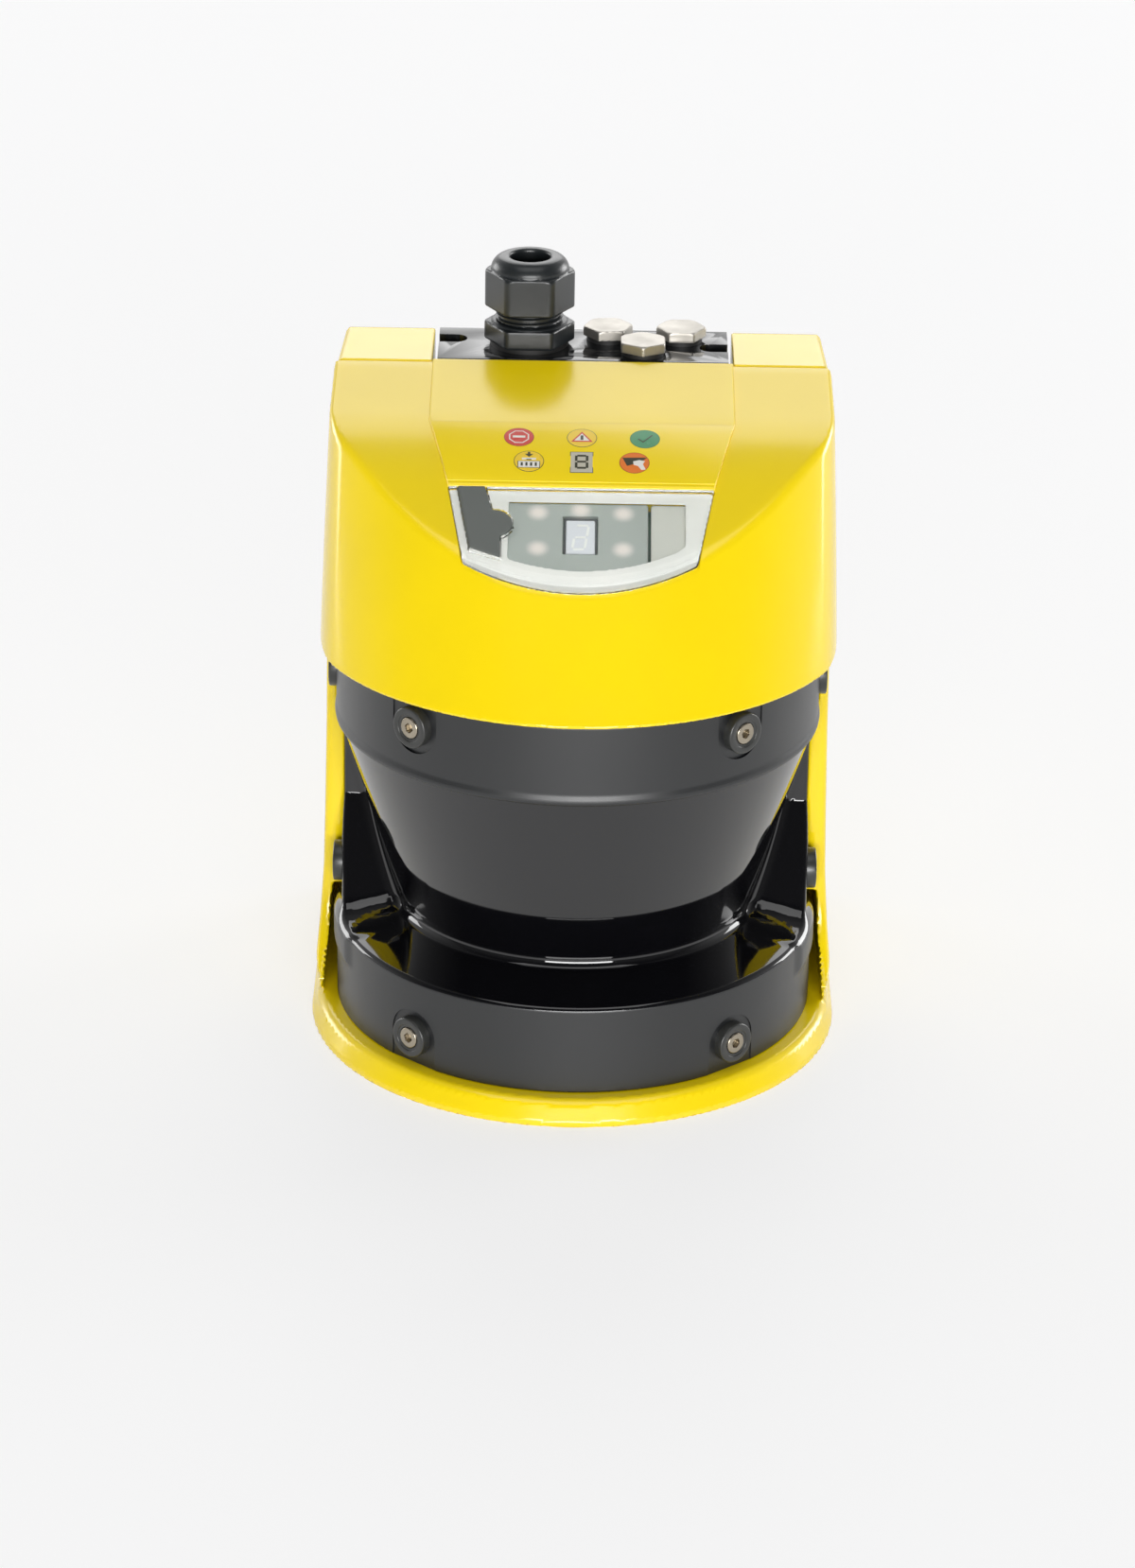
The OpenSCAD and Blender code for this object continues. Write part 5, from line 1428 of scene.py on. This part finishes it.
def shown_white(tree, shader, share):
    """Mixes plain white into a stage material for camera, glossy and transmission rays."""
    path = add(tree, "ShaderNodeLightPath")
    glow = add(tree, "ShaderNodeEmission")
    glow.inputs["Color"].default_value = (1, 1, 1, 1)
    seen = math_node(tree, "MAXIMUM", path.outputs["Is Camera Ray"],
                     math_node(tree, "MAXIMUM", path.outputs["Is Glossy Ray"],
                               path.outputs["Is Transmission Ray"]))
    mix = add(tree, "ShaderNodeMixShader")
    tree.links.new(math_node(tree, "MULTIPLY", seen, share), mix.inputs[0])
    tree.links.new(shader, mix.inputs[1])
    tree.links.new(glow.outputs[0], mix.inputs[2])
    return mix.outputs[0]


def lamp(name, place, aim, width, height, power):
    """A soft rectangular lamp that points at a place."""
    data = bpy.data.lights.new(name, "AREA")
    data.shape = "RECTANGLE"
    data.size, data.size_y = width, height
    data.energy = power
    piece = bpy.data.objects.new(name, data)
    piece.location = place
    piece.rotation_euler = (Vector(aim) - Vector(place)).to_track_quat("-Z", "Y").to_euler()
    bpy.context.scene.collection.objects.link(piece)
    piece.visible_camera = False
    return piece


def build_camera():
    """A long lens a little above the scanner, looking down at it from the front."""
    place = Vector((-0.0025, -1.3632, 0.6777))
    forward = Vector((0.0, 0.9141, -0.4056)).normalized()
    up = Vector((-0.0166, 0.4055, 0.9139))
    right = forward.cross(up).normalized()
    up = right.cross(forward)
    data = bpy.data.cameras.new("camera")
    data.sensor_fit = "AUTO"
    data.sensor_width = 36.0
    data.lens = 5383.8 / 1658 * 36.0
    data.clip_start, data.clip_end = 0.05, 20
    camera = bpy.data.objects.new("camera", data)
    turn = Matrix((right, up, -forward)).transposed()
    camera.matrix_world = Matrix.Translation(place) @ turn.to_4x4()
    bpy.context.scene.collection.objects.link(camera)
    bpy.context.scene.camera = camera


def build_stage():
    """A white table and backdrop, the lamps and the camera."""
    scene = bpy.context.scene
    scene.view_settings.view_transform = "Standard"
    build_camera()

    # floor: a plain pale sheet that keeps the scanner's shadow
    floor, tree, shader = new_material("white table")
    shader.inputs["Base Color"].default_value = (0.86, 0.86, 0.87, 1)
    shader.inputs["Roughness"].default_value = 0.55
    out = tree.nodes["Material Output"]
    tree.links.new(shown_white(tree, shader.outputs[0], 0.66), out.inputs["Surface"])
    plane("table", [(-2.5, -2.5, 0), (2.5, -2.5, 0), (2.5, 1.2, 0), (-2.5, 1.2, 0)], floor)

    # the room: bright behind the table, dim in front and overhead
    world = scene.world or bpy.data.worlds.new("world")
    scene.world = world
    world.use_nodes = True
    tree = world.node_tree
    back = tree.nodes["Background"]
    where = add(tree, "ShaderNodeTexCoord")
    split = add(tree, "ShaderNodeSeparateXYZ")
    tree.links.new(where.outputs["Generated"], split.inputs[0])
    behind = spread(tree, split.outputs["Y"], -0.2, 0.6, 0.12, 1.0)
    low = spread(tree, split.outputs["Z"], 0.3, 0.75, 1.0, 0.25)
    room = math_node(tree, "MULTIPLY", behind, low)
    path = add(tree, "ShaderNodeLightPath")
    seen = math_node(tree, "MAXIMUM", path.outputs["Is Camera Ray"], path.outputs["Is Transmission Ray"])
    tree.links.new(math_node(tree, "MAXIMUM", seen, room), back.inputs["Strength"])
    back.inputs["Color"].default_value = (1, 1, 1, 1)

    top = (0, 0, 0.15)
    lamp("back softbox", (0, 2.0, 1.4), top, 1.7, 1.6, 16)
    lamp("top softbox", (0, -0.5, 2.3), top, 2.0, 1.4, 12)
    lamp("front fill", (0.2, -3.2, 0.65), top, 2.4, 0.9, 101)
    lamp("left softbox", (-1.8, 1.25, 0.5), top, 1.0, 0.9, 13)
    lamp("right softbox", (1.8, 1.25, 0.55), top, 1.0, 0.9, 20)


# ------------------------------------------------------------------ operators
class BuildFinishes(bpy.types.Operator):
    """Makes the shared shader groups and every finish"""

    bl_idname = "scanner.finishes"
    bl_label = "Finishes"

    def execute(self, context):
        build_shader_groups()
        build_materials()
        return {"FINISHED"}


class BuildHood(bpy.types.Operator):
    """Builds the cast hood with its raised middle panel"""

    bl_idname = "scanner.hood"
    bl_label = "Hood"

    def execute(self, context):
        build_hood()
        return {"FINISHED"}


class BuildFrame(bpy.types.Operator):
    """Builds the cast frame with its walls and flange"""

    bl_idname = "scanner.frame"
    bl_label = "Frame"

    def execute(self, context):
        build_frame()
        return {"FINISHED"}


class BuildCover(bpy.types.Operator):
    """Builds the moulded optics cover with its washers and screws"""

    bl_idname = "scanner.cover"
    bl_label = "Optics cover"

    def execute(self, context):
        build_cover()
        build_fasteners()
        return {"FINISHED"}


class BuildDisplay(bpy.types.Operator):
    """Builds the display window, the panels below it, the digit and the flap"""

    bl_idname = "scanner.display"
    bl_label = "Display and flap"

    def execute(self, context):
        build_window()
        build_digit()
        build_flap()
        return {"FINISHED"}


class BuildLegend(bpy.types.Operator):
    """Lays the foil and its generic signs on the slope"""

    bl_idname = "scanner.legend"
    bl_label = "Legend foil"

    def execute(self, context):
        build_legend()
        return {"FINISHED"}


class BuildTop(bpy.types.Operator):
    """Builds the plug plate, the cable gland and the blind plugs"""

    bl_idname = "scanner.top"
    bl_label = "Plug, gland and blind plugs"

    def execute(self, context):
        build_plug()
        build_gland()
        build_blind_plugs()
        return {"FINISHED"}


class BuildInside(bpy.types.Operator):
    """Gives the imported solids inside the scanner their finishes"""

    bl_idname = "scanner.inside"
    bl_label = "Inside"

    def execute(self, context):
        build_inside()
        return {"FINISHED"}


class BuildStage(bpy.types.Operator):
    """Sets up the table, the backdrop, the lamps and the camera"""

    bl_idname = "scanner.stage"
    bl_label = "Stage"

    def execute(self, context):
        build_stage()
        return {"FINISHED"}


BUILDERS = (BuildFinishes, BuildHood, BuildFrame, BuildCover, BuildDisplay, BuildLegend, BuildTop,
            BuildInside, BuildStage)
SIZES = (("scanner_hood", HoodSizes), ("scanner_frame", FrameSizes), ("scanner_cover", CoverSizes),
         ("scanner_window", WindowSizes), ("scanner_finish", Finishes))


class ScannerPanel(bpy.types.Panel):
    """Lists the scanner's sizes, finishes and building steps"""

    bl_idname = "VIEW3D_PT_scanner"
    bl_label = "Safety laser scanner"
    bl_space_type = "VIEW_3D"
    bl_region_type = "UI"
    bl_category = "Scanner"

    def draw(self, context):
        for name, group in SIZES:
            box = self.layout.box()
            for key in group.__annotations__:
                box.prop(getattr(context.scene, name), key)
        for builder in BUILDERS:
            self.layout.operator(builder.bl_idname)


def register():
    for name, group in SIZES:
        bpy.utils.register_class(group)
        setattr(bpy.types.Scene, name, PointerProperty(type=group))
    for builder in BUILDERS:
        bpy.utils.register_class(builder)
    bpy.utils.register_class(ScannerPanel)


def unregister():
    bpy.utils.unregister_class(ScannerPanel)
    for builder in reversed(BUILDERS):
        bpy.utils.unregister_class(builder)
    for name, group in reversed(SIZES):
        delattr(bpy.types.Scene, name)
        bpy.utils.unregister_class(group)


def main():
    """Builds everything in order."""
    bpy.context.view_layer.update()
    register()
    bpy.ops.scanner.finishes()
    bpy.ops.scanner.hood()
    bpy.ops.scanner.frame()
    bpy.ops.scanner.cover()
    bpy.ops.scanner.display()
    bpy.ops.scanner.legend()
    bpy.ops.scanner.top()
    bpy.ops.scanner.inside()
    bpy.ops.scanner.stage()


if __name__ == "__main__":
    main()
